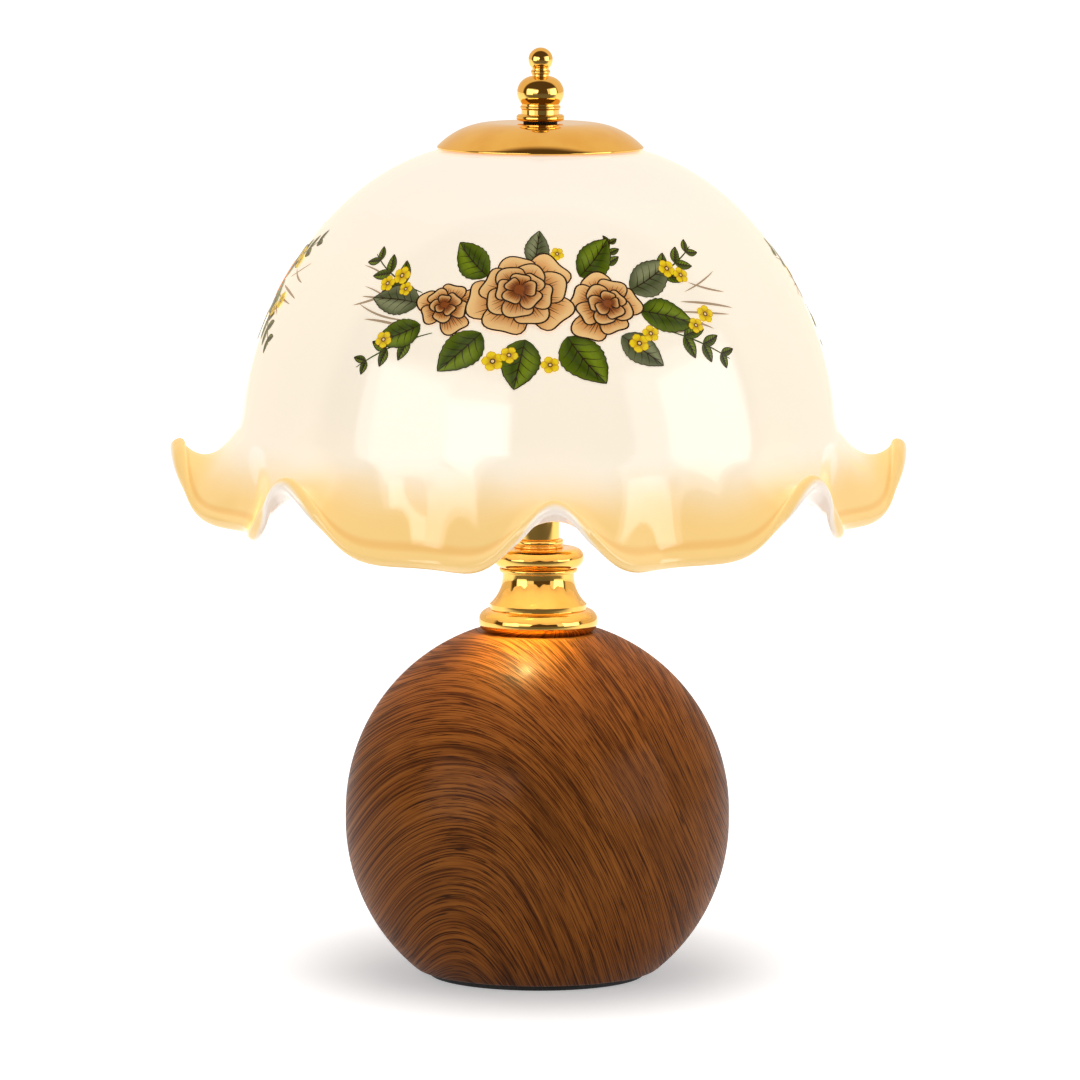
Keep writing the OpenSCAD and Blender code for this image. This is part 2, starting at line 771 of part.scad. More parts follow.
module holder_grub_screw() {
    color(steel) rod_x(rod_r + thread_gap, rod_r + holder_floor_t,
                       z_holder + holder_floor_t / 2, holder_screw_r);
}

// Bulb

module bulb_contact() {
    color(steel) translate([0, 0, z_tip]) cylinder(h = tip_t, r = tip_r);
}

module bulb_insulator() {
    color(black) translate([0, 0, z_insulator])
        cylinder(h = insulator_h, r1 = tip_r + seat_gap, r2 = thread_root_r);
}

// Screw cap with rounded thread rings at the thread's pitch
module bulb_cap() {
    turns = floor((bulb_cap_h - thread_pitch) / thread_pitch);
    ridge_r = thread_pitch / 3;
    color(steel) translate([0, 0, z_bulb_cap]) difference() {
        rotate_extrude() right_half(0, bulb_cap_h, cap_thread_r) union() {
            square([thread_root_r, bulb_cap_h]);
            for (i = [0 : turns - 1])
                translate([cap_thread_r - ridge_r, (i + 0.75) * thread_pitch]) circle(r = ridge_r);
        }
        translate([0, 0, cap_wall]) cylinder(h = bulb_cap_h, r = thread_root_r - cap_wall);
    }
}

module bulb_skirt() {
    color("white") translate([0, 0, z_skirt]) rotate_extrude() difference() {
        polygon([[0, 0], [skirt_low_r, 0], [skirt_top_r, bulb_skirt_h], [0, bulb_skirt_h]]);
        polygon([[-cut, bulb_wall], [skirt_low_r - 2 * bulb_wall, bulb_wall],
                 [skirt_low_r - bulb_wall, bulb_skirt_h - board_t], [-cut, bulb_skirt_h - board_t]]);
        translate([-cut, bulb_skirt_h - board_t]) square([board_r + pass_gap + cut, board_t + cut]);
    }
}

module led_board() {
    color(board_green) translate([0, 0, z_globe - board_t]) cylinder(h = board_t, r = board_r);
}

module bulb_dome() {
    color("white") intersection() {
        translate([0, 0, globe_c]) difference() {
            sphere(r = bulb_r);
            sphere(r = bulb_r - bulb_wall);
        }
        translate([0, 0, z_globe]) cylinder(h = 2 * bulb_r, r = 2 * bulb_r);
    }
}

// Glass shade

// Point on a cubic curve
function curve(p, t) = pow(1 - t, 3) * p[0] + 3 * t * pow(1 - t, 2) * p[1]
                       + 3 * t * t * (1 - t) * p[2] + pow(t, 3) * p[3];
// Direction of a cubic curve
function curve_dir(p, t) = unit(pow(1 - t, 2) * (p[1] - p[0]) + 2 * t * (1 - t) * (p[2] - p[1])
                                + t * t * (p[3] - p[2]));
function mix(a, b, t) = a + (b - a) * t;

// Handles of the dome's curve: how far it runs on flat from the crown and steep above the waist
dome_flat = 38.5;
dome_flat_drop = 1.5;
dome_steep_in = 9.8;
dome_steep_h = 58;
dome_curve = [[crown_r, z_crown], [crown_r + dome_flat, z_crown - dome_flat_drop],
              [waist_r - dome_steep_in, z_waist + dome_steep_h], [waist_r, z_waist]];

// Handles of the ruffle: the start that all meridians share, then those of the lobes and arches
ruffle_start = [2.5, 10];
lobe_handle_up = 15.6;
lobe_handle_in = 7.5;
arch_handle_up = 9.6;
arch_handle_in = 7;
// Powers that keep the rim far out around the arches, and low except at them
reach_power = 2;
lift_power = 3.4;
// How far the melted edge bulges past the wall's end, as a share of the wall
rim_bulge = 0.4;

function crest(a) = 0.5 + 0.5 * cos(ruffles * (a - ruffle_turn));
function reach(a) = 1 - pow(1 - crest(a), reach_power);
function lift(a) = pow(crest(a), lift_power);
function sway(a) = -rim_sway * cos(2 * a);

// Curve of the ruffle on the meridian at angle a from the front
function ruffle_curve(a) = [
    [waist_r, z_waist],
    [waist_r + ruffle_start[0], z_waist - ruffle_start[1]],
    [mix(lobe_r - lobe_handle_in, arch_r - arch_handle_in, reach(a)),
     z_waist + mix(lobe_handle_up - lobe_drop, -arch_drop - arch_handle_up, lift(a)) + sway(a) * lift(a)],
    [mix(lobe_r, arch_r, reach(a)), z_waist + mix(-lobe_drop, -arch_drop, lift(a)) + sway(a)]];

// Inner point of the wall behind the outer point p, where the curve has direction d
function inner_point(p, d) = p + glass_t * [d[1], -d[0]];

// Section of the glass on one meridian, as a closed loop of [radius, height] points
function glass_section(a) = let (
        ruffle = ruffle_curve(a),
        dome_t = [for (i = [1 : steps_dome]) i / steps_dome],
        ruffle_t = [for (i = [1 : steps_ruffle]) i / steps_ruffle],
        places = concat([for (t = dome_t) curve(dome_curve, t)], [for (t = ruffle_t) curve(ruffle, t)]),
        headings = concat([for (t = dome_t) curve_dir(dome_curve, t)],
                          [for (t = ruffle_t) curve_dir(ruffle, t)]),
        last = len(places) - 1,
        middle = (places[last] + inner_point(places[last], headings[last])) / 2,
        rim = middle + headings[last] * glass_t * rim_bulge)
    concat([[crown_hole_r, z_crown], [crown_r, z_crown]], places, [rim],
           [for (i = [last : -1 : 0]) inner_point(places[i], headings[i])],
           [[crown_r, z_crown_under], [crown_hole_r, z_crown_under]]);

module shade() {
    angles = [for (k = [0 : steps_around - 1]) k * 360 / steps_around + ruffle_turn];
    sections = [for (a = angles) glass_section(a)];
    rings = len(sections[0]);
    points = [for (i = [0 : rings - 1]) for (k = [0 : steps_around - 1])
        [sections[k][i][0] * sin(angles[k]), -sections[k][i][0] * cos(angles[k]), sections[k][i][1]]];
    faces = [for (i = [0 : rings - 1]) for (k = [0 : steps_around - 1])
        let (j = (i + 1) % rings, n = (k + 1) % steps_around)
        each [[i * steps_around + k, i * steps_around + n, j * steps_around + n],
              [i * steps_around + k, j * steps_around + n, j * steps_around + k]]];
    color(opal) polyhedron(points, faces, convexity = 10);
}

module shade_gasket() {
    color(silicone) ring(z_gasket, gasket_t, crown_r - seat_gap, nut_room_r);
}

// Flanged bush that centres the glass on the stud and clears the stud's nut
module shade_bush() {
    sleeve_r = (crown_hole_r - seat_gap) * cos(180 / steps_around);
    color(brass) difference() {
        union() {
            translate([0, 0, z_crown]) cylinder(h = crown_flange_t, r = crown_flange_r);
            translate([0, 0, z_crown_under + seat_gap]) cylinder(h = glass_t, r = sleeve_r);
        }
        translate([0, 0, z_gasket]) cylinder(h = stud_nut_h + cut, r = nut_room_r);
        translate([0, 0, z_gasket]) cylinder(h = z_finial - z_gasket, r = stud_hole_r);
    }
}

// Cap and finial

// Outline under a flat top that rolls over into a curve of radius r
module cap_outline(r) {
    square([cap_curve_c, cap_curve_z + r]);
    translate([cap_curve_c, cap_curve_z]) circle(r = r);
}

module shade_cap() {
    color(brass) difference() {
        rotate_extrude() right_half(z_cap, z_cap_top, cap_r + cut) difference() {
            cap_outline(cap_curve_r);
            cap_outline(cap_curve_r - cap_t);
        }
        translate([0, 0, z_cap_top - 2 * cap_t]) cylinder(h = 3 * cap_t, r = stud_hole_r);
    }
}

module finial_washer() {
    color(black) ring(z_finial_washer, finial_washer_t, finial_foot_r - finial_washer_inset, stud_hole_r);
}

// Outline of the finial: foot, grooves with a ring, bulge, thin neck with a bead, and top ball
module finial_outline() {
    ring_r = finial_groove_h / 4.5;
    ring_z = finial_foot_h + finial_groove_h * 0.6;
    neck_bead_r = finial_neck_r * 0.3;
    bead_z = finial_bulge_z + finial_bulge_round + neck_bead_r * 1.5;
    right_half(0, finial_ball_z + finial_ball_r, finial_foot_r) union() {
        square([finial_foot_r - finial_foot_h / 2, finial_foot_h]);
        translate([finial_foot_r - finial_foot_h / 2, finial_foot_h / 2]) circle(r = finial_foot_h / 2);
        square([finial_groove_r, finial_foot_h + finial_groove_h]);
        translate([finial_groove_r - ring_r / 2, ring_z]) circle(r = ring_r);
        translate([finial_bulge_r - finial_bulge_round, finial_bulge_z]) circle(r = finial_bulge_round);
        square([finial_neck_r, finial_ball_z]);
        translate([finial_neck_r - neck_bead_r / 2, bead_z]) circle(r = neck_bead_r);
        translate([0, finial_ball_z]) circle(r = finial_ball_r);
    }
}

module finial() {
    color(brass) translate([0, 0, z_finial]) difference() {
        rotate_extrude() finial_outline();
        translate([0, 0, -cut]) cylinder(h = finial_bore_h + cut, r = stud_r + thread_gap);
    }
}

ball_base();
foot_pad();
base_plate();
base_plate_screws();
cord_bush();
terminal_block();
terminal_screws();
lead_live();
lead_neutral();
rod();
rod_washer();
rod_lock_washer();
rod_nut();
neck_bell();
neck_collar();
column_tube();
column_flange();
harp_saddle();
upper_nut();
harp_arch();
harp_screws();
harp_nuts();
shade_seat();
shade_stud();
stud_nut();
holder_cap();
holder_core();
holder_body();
holder_screw_shell();
holder_contact();
holder_terminal_screws();
holder_grub_screw();
bulb_contact();
bulb_insulator();
bulb_cap();
bulb_skirt();
bulb_dome();
led_board();
shade_gasket();
shade();
shade_bush();
shade_cap();
finial_washer();
finial();
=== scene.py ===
# %% [markdown]
# # A table lamp with a wooden ball and a ruffled glass shade
# The lamp's construction is fixed: each solid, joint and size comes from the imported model, which is
# loaded first and never moved. This lesson only dresses it. Smooth meshes stand in for the coarser
# solids, each surface gets its finish, and a pale floor and soft light show the result.

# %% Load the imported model
import bpy
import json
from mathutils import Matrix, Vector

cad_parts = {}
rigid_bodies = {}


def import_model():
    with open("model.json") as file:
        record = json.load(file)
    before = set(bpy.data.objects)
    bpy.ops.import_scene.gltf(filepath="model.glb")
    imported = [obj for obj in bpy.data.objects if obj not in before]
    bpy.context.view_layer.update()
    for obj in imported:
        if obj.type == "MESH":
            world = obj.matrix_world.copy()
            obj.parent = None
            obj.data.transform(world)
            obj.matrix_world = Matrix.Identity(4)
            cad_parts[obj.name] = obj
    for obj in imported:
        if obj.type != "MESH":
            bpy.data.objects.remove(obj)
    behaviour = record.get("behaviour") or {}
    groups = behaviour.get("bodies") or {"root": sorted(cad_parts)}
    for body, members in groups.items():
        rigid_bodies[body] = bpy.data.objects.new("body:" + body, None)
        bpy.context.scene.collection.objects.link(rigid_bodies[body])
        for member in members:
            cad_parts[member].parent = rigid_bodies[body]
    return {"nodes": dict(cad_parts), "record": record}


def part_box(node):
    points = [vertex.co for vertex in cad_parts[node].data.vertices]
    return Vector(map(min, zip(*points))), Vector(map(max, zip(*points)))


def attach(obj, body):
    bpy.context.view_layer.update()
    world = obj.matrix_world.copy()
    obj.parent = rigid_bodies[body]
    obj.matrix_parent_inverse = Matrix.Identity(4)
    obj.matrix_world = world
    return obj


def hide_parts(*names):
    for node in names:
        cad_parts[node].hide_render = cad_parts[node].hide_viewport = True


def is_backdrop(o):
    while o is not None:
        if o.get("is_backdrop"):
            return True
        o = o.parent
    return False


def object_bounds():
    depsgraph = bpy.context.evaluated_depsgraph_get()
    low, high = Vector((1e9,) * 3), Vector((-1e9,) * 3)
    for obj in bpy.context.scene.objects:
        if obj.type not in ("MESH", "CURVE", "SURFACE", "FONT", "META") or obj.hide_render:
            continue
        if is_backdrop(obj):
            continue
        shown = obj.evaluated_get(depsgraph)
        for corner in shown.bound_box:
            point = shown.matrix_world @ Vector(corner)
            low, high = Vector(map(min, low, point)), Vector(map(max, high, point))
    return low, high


for leftover in list(bpy.data.objects):
    bpy.data.objects.remove(leftover)
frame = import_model()
cad_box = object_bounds()
packed_size = [round(side, 4) for side in cad_box[1] - cad_box[0]]
print("packed model:", len(frame["nodes"]), "nodes, size", packed_size)

# %% [markdown]
# ## The camera
# The photograph was taken from far away with a long lens, a little above the lamp, so that upright
# lines stay almost parallel. A long focal length from 2.7 m gives the same calm view. The camera is
# turned a quarter of a degree, because the lamp in the picture leans by that much.

# %% Camera
import math
from mathutils import Matrix, Quaternion, Vector

PICTURE_PIXELS = 1080
FOCAL_PIXELS = 7952
EYE = Vector((0.0, -2.700, 0.455))
AIM = Vector((0.0005, 0.0, 0.1498))
LEAN = math.radians(0.25)

scene = bpy.context.scene
scene.view_settings.view_transform = "Standard"


def add_object(name, data):
    """Put an object with this data into the scene."""
    made = bpy.data.objects.new(name, data)
    scene.collection.objects.link(made)
    return made


camera_data = bpy.data.cameras.new("studio_camera")
camera_data.lens = camera_data.sensor_width * FOCAL_PIXELS / PICTURE_PIXELS
camera = add_object("studio_camera", camera_data)
camera.location = EYE
camera.rotation_mode = "QUATERNION"
camera.rotation_quaternion = (AIM - EYE).to_track_quat("-Z", "Y") @ Quaternion((0, 0, 1), LEAN)
scene.camera = camera
print("camera lens", round(camera_data.lens, 1), "mm")

# %% [markdown]
# ## Helpers for node trees
# Materials, the world and Geometry Nodes are all trees of small nodes. A few short helpers keep them
# readable: they feed sockets, add a node with its inputs, do one step of arithmetic with numbers or
# vectors, and take a vector apart or put it together. Colours are written as a picture shows them and
# turned into linear light, which shaders expect.

# %% Node helpers
def wire(tree, socket, value):
    """Feed a socket from another node's output, or set its own value."""
    if isinstance(value, bpy.types.NodeSocket):
        tree.links.new(value, socket)
    else:
        socket.default_value = value


def feed(tree, node, inputs):
    """Feed several inputs of a node by name or number."""
    for key, value in inputs.items():
        wire(tree, node.inputs[key], value)


def put(tree, kind, inputs=None, **options):
    """Add a node, set its options and feed its inputs."""
    made = tree.nodes.new(kind)
    for option, value in options.items():
        setattr(made, option, value)
    feed(tree, made, inputs or {})
    return made


def reckon(tree, operation, *values):
    """One step of arithmetic; gives the result's socket."""
    return put(tree, "ShaderNodeMath", dict(enumerate(values)), operation=operation).outputs[0]


def vector_step(tree, operation, *values):
    """One step of arithmetic with vectors; gives the result's socket."""
    return put(tree, "ShaderNodeVectorMath", dict(enumerate(values)), operation=operation).outputs[0]


def split(tree, vector):
    """The three parts of a vector, as sockets."""
    return put(tree, "ShaderNodeSeparateXYZ", {0: vector}).outputs


def join(tree, x, y, z):
    """A vector from its three parts."""
    return put(tree, "ShaderNodeCombineXYZ", {0: x, 1: y, 2: z}).outputs[0]


def ramp(tree, value, low, high, to_low=0.0, to_high=1.0):
    """A smooth change from one number to another while the value goes from low to high."""
    inputs = {"Value": value, "From Min": low, "From Max": high, "To Min": to_low, "To Max": to_high}
    return put(tree, "ShaderNodeMapRange", inputs, interpolation_type="SMOOTHSTEP").outputs[0]


def blend_colours(tree, share, first, second):
    """The first colour where share is 0, the second where it is 1."""
    return put(tree, "ShaderNodeMix", {0: share, 6: first, 7: second}, data_type="RGBA").outputs[2]


def shown(red, green, blue):
    """A colour as a picture shows it, from 0 to 255, as linear light."""
    parts = [part / 255 for part in (red, green, blue)]
    linear = [p / 12.92 if p <= 0.04045 else ((p + 0.055) / 1.055) ** 2.4 for p in parts]
    return (*linear, 1.0)


print("a warm white becomes", [round(part, 3) for part in shown(255, 244, 226)])

# %% [markdown]
# ## Floor and surroundings
# The lamp stands on white, with only a soft shadow under the ball. The floor is a pale matt plane that
# glows for the camera and for reflections further away from the lamp, so it runs into the white
# background without an edge, and keeps the shadow close by. Near the lamp it glows less, which paints a
# soft shadow round the ball. The world is white behind the lamp and dim on the camera's side. Polished
# brass lives from that contrast: it shows dark bands only if there is something dark to mirror.

# %% Floor
FLOOR_REACH = 14.0
WHITE = (1.0, 1.0, 1.0, 1.0)
FLOOR_WHITE = (0.77, 0.80, 0.83, 1.0)
FLOOR_DIM = (0.10, 0.09, 0.08, 1.0)
DIM_REACH = (-0.40, 0.05)
DIM_SHARE = 0.9
SHADOW_MIDDLE = (0.0, 0.020, 0.0)
SHADOW_NARROW = (1.45, 1.0, 1.0)
SHADOW_REACH = (0.065, 0.18)
FLOOR_GLOW = (0.40, 0.90)


def new_finish(name):
    """A material with its node tree and its main shader."""
    made = bpy.data.materials.new(name)
    made.use_nodes = True
    return made, made.node_tree, made.node_tree.nodes["Principled BSDF"]


def own_place(tree):
    """Where a point lies on its piece, in metres."""
    return put(tree, "ShaderNodeTexCoord").outputs["Object"]


def seen_directly(tree):
    """1 for rays from the camera, from a mirror or through glass, and 0 for light that only bounces."""
    path = put(tree, "ShaderNodeLightPath").outputs
    direct = reckon(tree, "MAXIMUM", path["Is Camera Ray"], path["Is Glossy Ray"])
    return reckon(tree, "MAXIMUM", direct, path["Is Transmission Ray"])


def white_floor():
    """Matt white from above, see-through from below, glowing less near the lamp as a painted shadow, and dim
    where mirrors see it in front of the lamp.
    """
    made, tree, shader = new_finish("white_floor")
    place = own_place(tree)
    away = vector_step(tree, "SUBTRACT", place, SHADOW_MIDDLE)
    narrow = vector_step(tree, "MULTIPLY", away, SHADOW_NARROW)
    distance = put(tree, "ShaderNodeVectorMath", {0: narrow}, operation="LENGTH").outputs["Value"]
    depth = split(tree, place)["Y"]
    glossy = put(tree, "ShaderNodeLightPath").outputs["Is Glossy Ray"]
    dimmed = reckon(tree, "MULTIPLY", glossy, ramp(tree, depth, *DIM_REACH, 1.0, 0.0))
    # Painted shadow: the glow is lower near the lamp, a soft dark patch round the ball shaped by
    # SHADOW_MIDDLE, SHADOW_NARROW and SHADOW_REACH.
    glow = reckon(tree, "MULTIPLY", ramp(tree, distance, *SHADOW_REACH, *FLOOR_GLOW), seen_directly(tree))
    glow = reckon(tree, "MULTIPLY", glow, reckon(tree, "MULTIPLY_ADD", dimmed, -DIM_SHARE, 1.0))
    feed(tree, shader, {
        "Base Color": blend_colours(tree, dimmed, FLOOR_WHITE, FLOOR_DIM),
        "Roughness": 0.9,
        "Specular IOR Level": 0.1,
        "Emission Color": WHITE,
        "Emission Strength": glow,
    })
    behind = put(tree, "ShaderNodeNewGeometry").outputs["Backfacing"]
    clear = put(tree, "ShaderNodeBsdfTransparent").outputs[0]
    mixed = put(tree, "ShaderNodeMixShader", {0: behind, 1: shader.outputs[0], 2: clear})
    wire(tree, tree.nodes["Material Output"].inputs["Surface"], mixed.outputs[0])
    return made


floor_mesh = bpy.data.meshes.new("floor")
corners = [(x * FLOOR_REACH, y * FLOOR_REACH, 0.0) for x, y in ((-1, -1), (1, -1), (1, 1), (-1, 1))]
floor_mesh.from_pydata(corners, [], [(0, 1, 2, 3)])
floor = add_object("floor", floor_mesh)
floor.data.materials.append(white_floor())
floor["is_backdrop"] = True
print("floor", 2 * FLOOR_REACH, "m wide")

# %% World
AMBIENT = 0.27
DARK_SIDE = 0.09
BRIGHT_SIDE = 0.84
SIDE_CHANGE = (-0.03, 0.16)
WARM_ROOM = (1.0, 0.84, 0.68, 1.0)
DIM_ROOM = (1.0, 0.66, 0.42, 1.0)


def studio_world():
    """White to look at and in mirrors behind the lamp, dim in mirrors in front of it, grey as plain light."""
    made = bpy.data.worlds.new("studio")
    made.use_nodes = True
    tree = made.node_tree
    path = put(tree, "ShaderNodeLightPath").outputs
    heading = put(tree, "ShaderNodeTexCoord").outputs["Generated"]
    behind = ramp(tree, split(tree, heading)["Y"], *SIDE_CHANGE, DARK_SIDE, BRIGHT_SIDE)
    mirrored = reckon(tree, "MULTIPLY", path["Is Glossy Ray"], behind)
    direct = reckon(tree, "MAXIMUM", path["Is Camera Ray"], path["Is Transmission Ray"])
    plain = reckon(tree, "MULTIPLY", path["Is Diffuse Ray"], AMBIENT)
    strength = reckon(tree, "MAXIMUM", reckon(tree, "MAXIMUM", direct, mirrored), plain)
    room = blend_colours(tree, behind, DIM_ROOM, WARM_ROOM)
    colour = blend_colours(tree, path["Is Glossy Ray"], WHITE, room)
    feed(tree, tree.nodes["Background"], {"Color": colour, "Strength": strength})
    return made


scene.world = studio_world()
print("world: strength", AMBIENT, "as plain light")

# %% [markdown]
# ## Studio light
# Two wide soft boxes stand in front at the left and right, one hangs above, and two weaker ones light
# the back, so that the lamp reads well from all sides. Three bright windows show only in gloss, where
# the picture has its brightest reflections. The bulb is on in the picture: it lays a warm gleam on top
# of the ball and in the brass. A small warm lamp in the middle of the globe lights the inside of the
# glass. A warm disc in front of the column stands for the light that comes down out of the shade, and
# a smaller one makes the gleam in the ball's lacquer.

# %% Lights
LAMP_MIDDLE = Vector((0.0, 0.0, 0.16))
# Each box: its place, width, height and watts
SOFT_BOXES = {
    "front_left_box": ((-1.35, -1.60, 0.72), 2.10, 1.30, 8.0),
    "front_right_box": ((1.77, -0.94, 0.72), 1.90, 1.30, 7.6),
    "window_left": ((-1.39, -0.98, 0.51), 1.10, 1.05, 5.4),
    "window_middle": ((-0.68, -1.56, 0.70), 0.75, 0.43, 2.4),
    "window_right": ((1.58, -0.64, 0.51), 1.10, 1.05, 6.2),
    "top_box": ((0.0, -0.15, 1.75), 1.10, 1.10, 5.0),
    "rear_left_box": ((-1.50, 1.50, 0.90), 0.80, 1.10, 2.5),
    "rear_right_box": ((1.50, 1.50, 0.90), 0.80, 1.10, 2.5),
}
BULB_WATTS = 0.06
BULB_LIGHT = (1.0, 0.90, 0.70)
SHARE_OF_GLOBE = 0.8
WARM_LIGHT = (1.0, 0.84, 0.20)
GLINT_LIGHT = (1.0, 0.74, 0.26)
DOWN_SPREAD = math.radians(40)
# Each disc: its x, y, radius and watts
DOWN_DISC = (-0.004, -0.022, 0.014, 0.016)
GLINT_DISC = (-0.009, -0.029, 0.0045, 0.020)


def area_lamp(name, shape, width, watts, place):
    """A flat lamp that the camera doesn't see."""
    data = bpy.data.lights.new(name, "AREA")
    data.shape = shape
    data.size = width
    data.energy = watts
    lamp = add_object(name, data)
    lamp.location = place
    lamp.visible_camera = False
    return lamp


def soft_box(name, place, width, height, watts):
    """A rectangular lamp that faces the object; the front boxes show in gloss, and windows only there."""
    lamp = area_lamp(name, "RECTANGLE", width, watts, place)
    lamp.data.size_y = height
    lamp.rotation_euler = (LAMP_MIDDLE - Vector(place)).to_track_quat("-Z", "Y").to_euler()
    lamp.visible_glossy = name.startswith(("front", "window"))
    lamp.visible_diffuse = not name.startswith("window")


for box_name, box_facts in SOFT_BOXES.items():
    soft_box(box_name, *box_facts)
globe_low, globe_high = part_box("bulb_dome")
bulb_data = bpy.data.lights.new("bulb_light", "POINT")
bulb_data.energy = BULB_WATTS
bulb_data.color = BULB_LIGHT
bulb_data.shadow_soft_size = SHARE_OF_GLOBE * globe_high.x
bulb_light = add_object("bulb_light", bulb_data)
bulb_light.location = (0.0, 0.0, globe_high.z - globe_high.x)
bulb_light.visible_camera = False
column_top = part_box("column_flange")[1].z


def warm_disc(name, x, y, radius, watts, colour):
    """A disc level with the top of the column that shines down, as the open shade does."""
    lamp = area_lamp(name, "DISK", 2 * radius, watts, (x, y, column_top))
    lamp.data.color = colour
    lamp.data.spread = DOWN_SPREAD
    return lamp


warm_disc("down_light", *DOWN_DISC, WARM_LIGHT).visible_glossy = False
warm_disc("ball_glint", *GLINT_DISC, GLINT_LIGHT).visible_diffuse = False
print("lights:", len(SOFT_BOXES), "soft boxes, the bulb and two warm discs")

# %% [markdown]
# ## Finishes that are plain but not flat
# Rubber, plastic, porcelain and steel look even, yet up close each has a little variation in colour and
# gloss and a fine relief. One function makes such a finish from a colour, a gloss and the size of its
# grain, on Object coordinates, so the pattern keeps its real scale on every piece.

# %% Plain finishes
GRAIN_DEPTH = 0.001


def noise(tree, place, scale, detail):
    """Soft random values between 0 and 1."""
    return put(tree, "ShaderNodeTexNoise", {"Vector": place, "Scale": scale, "Detail": detail}).outputs[0]


def relief_normal(tree, strength, depth, height):
    """A normal that makes the surface look raised where the height is large."""
    return put(tree, "ShaderNodeBump", {"Strength": strength, "Distance": depth, "Height": height}).outputs[0]


def plain_finish(name, colour, roughness, metallic=0.0, mottle=0.12, grain=700.0, relief=0.04):
    """An even finish with fine mottling in colour, gloss and relief."""
    made, tree, shader = new_finish(name)
    mottling = noise(tree, own_place(tree), grain, 3.0)
    dark = (*[part * (1 - mottle) for part in colour[:3]], 1.0)
    light = (*[min(1.0, part * (1 + mottle)) for part in colour[:3]], 1.0)
    feed(tree, shader, {
        "Base Color": blend_colours(tree, mottling, dark, light),
        "Roughness": ramp(tree, mottling, 0.2, 0.8, 0.8 * roughness, 1.2 * roughness),
        "Normal": relief_normal(tree, relief, GRAIN_DEPTH, mottling),
        "Metallic": metallic,
    })
    return made


rubber = plain_finish("black_rubber", shown(34, 33, 33), 0.62, grain=1400.0, relief=0.25)
black_plastic = plain_finish("black_plastic", shown(30, 30, 31), 0.42, grain=1800.0, relief=0.12)
phenolic = plain_finish("phenolic", shown(58, 45, 38), 0.30, mottle=0.3, grain=500.0)
porcelain = plain_finish("porcelain", shown(236, 231, 220), 0.18, mottle=0.04, grain=300.0)
steel = plain_finish("zinc_steel", shown(196, 198, 200), 0.24, metallic=1.0, grain=900.0)
brown_lead = plain_finish("brown_lead", shown(110, 66, 40), 0.45)
blue_lead = plain_finish("blue_lead", shown(58, 104, 176), 0.45)
silicone = plain_finish("clear_silicone", shown(214, 214, 208), 0.40, mottle=0.05)
bulb_metal = plain_finish("bulb_metal", shown(206, 207, 209), 0.20, metallic=1.0, mottle=0.06)
board = plain_finish("circuit_board", shown(228, 232, 224), 0.40, mottle=0.05)
print("plain finishes made")

# %% [markdown]
# ## Polished brass
# The neck, cap and finial are turned from brass and polished until they mirror the room. A metal shader
# with low roughness does most of it. What keeps it from looking like a computer's gold is the faint
# trace of the lathe: very fine rings round the axis, which here vary the gloss and relief with height.

# %% Brass
BRASS = shown(254, 206, 108)
DEEPER = (0.94, 0.88, 0.78)
LATHE_MARKS = (60.0, 60.0, 5200.0)
MARK_DEPTH = 0.0001


def turned_brass(name, colour, roughness, ring_relief):
    """Brass with faint turning marks round the lamp's axis."""
    made, tree, shader = new_finish(name)
    place = own_place(tree)
    marks_place = put(tree, "ShaderNodeMapping", {"Vector": place, "Scale": LATHE_MARKS}).outputs[0]
    marks = noise(tree, marks_place, 1.0, 2.0)
    patina = noise(tree, place, 90.0, 4.0)
    deep = (*[part * share for part, share in zip(colour, DEEPER)], 1.0)
    gloss = reckon(tree, "ADD", marks, patina)
    feed(tree, shader, {
        "Base Color": blend_colours(tree, ramp(tree, patina, 0.35, 0.75), colour, deep),
        "Roughness": ramp(tree, gloss, 0.6, 1.4, 0.7 * roughness, 1.4 * roughness),
        "Normal": relief_normal(tree, ring_relief, MARK_DEPTH, marks),
        "Metallic": 1.0,
    })
    return made


brass = turned_brass("polished_brass", BRASS, 0.05, 0.03)
carrier_brass = turned_brass("carrier_brass", shown(226, 178, 92), 0.24, 0.12)
print("brass made")

# %% [markdown]
# ## Wood
# The ball is cut from a trunk whose heart passes under the ball, a little to the left. The yearly layers
# lie round that heart as long ovals, so on the front they show as nested arches that are drawn out
# upwards. How far out on its oval a point lies says which layer it is in. A noise that changes fast from
# layer to layer and slowly along them gives streaks. Broad bands, streaks and dark pores are the same
# idea at three sizes, and a satin lacquer lies over them.

# %% Wood finish
HEART_LEFT = 0.33
HEART_BELOW = 1.54
OVAL = 0.41
OVAL_GROWTH = 0.17
OVAL_LEAN = math.radians(5.3)
OVAL_BACK = 0.111
LAYER_SWAY = 0.04
# How fast each pattern changes along the layers and across them
BANDS = (1.2, 18.0)
STREAKS = (3.6, 260.0)
PORES = (9.0, 360.0)
WOOD_DEPTH = 0.0004
WOOD_DEEP = shown(68, 34, 12)
WOOD_MIDDLE = shown(136, 75, 28)
WOOD_LIGHT = shown(172, 103, 42)
PORE = shown(48, 24, 9)
ball_low, ball_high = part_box("ball_base")
ball_middle = Vector((0.0, 0.0, (ball_low.z + ball_high.z) / 2))
across_oval = Vector((math.cos(OVAL_LEAN), 0.0, math.sin(OVAL_LEAN)))
along_oval = Vector((-math.sin(OVAL_LEAN), OVAL_BACK, math.cos(OVAL_LEAN)))
heart = Vector((-HEART_LEFT, 0.0, -HEART_BELOW))
drawn_out = Vector((0.0, 0.6, 0.8))
crosswise = Vector((0.9, 0.4, 0.0))


def along(tree, vector, direction):
    """How far a vector reaches in a direction."""
    inputs = {0: vector, 1: direction}
    return put(tree, "ShaderNodeVectorMath", inputs, operation="DOT_PRODUCT").outputs["Value"]


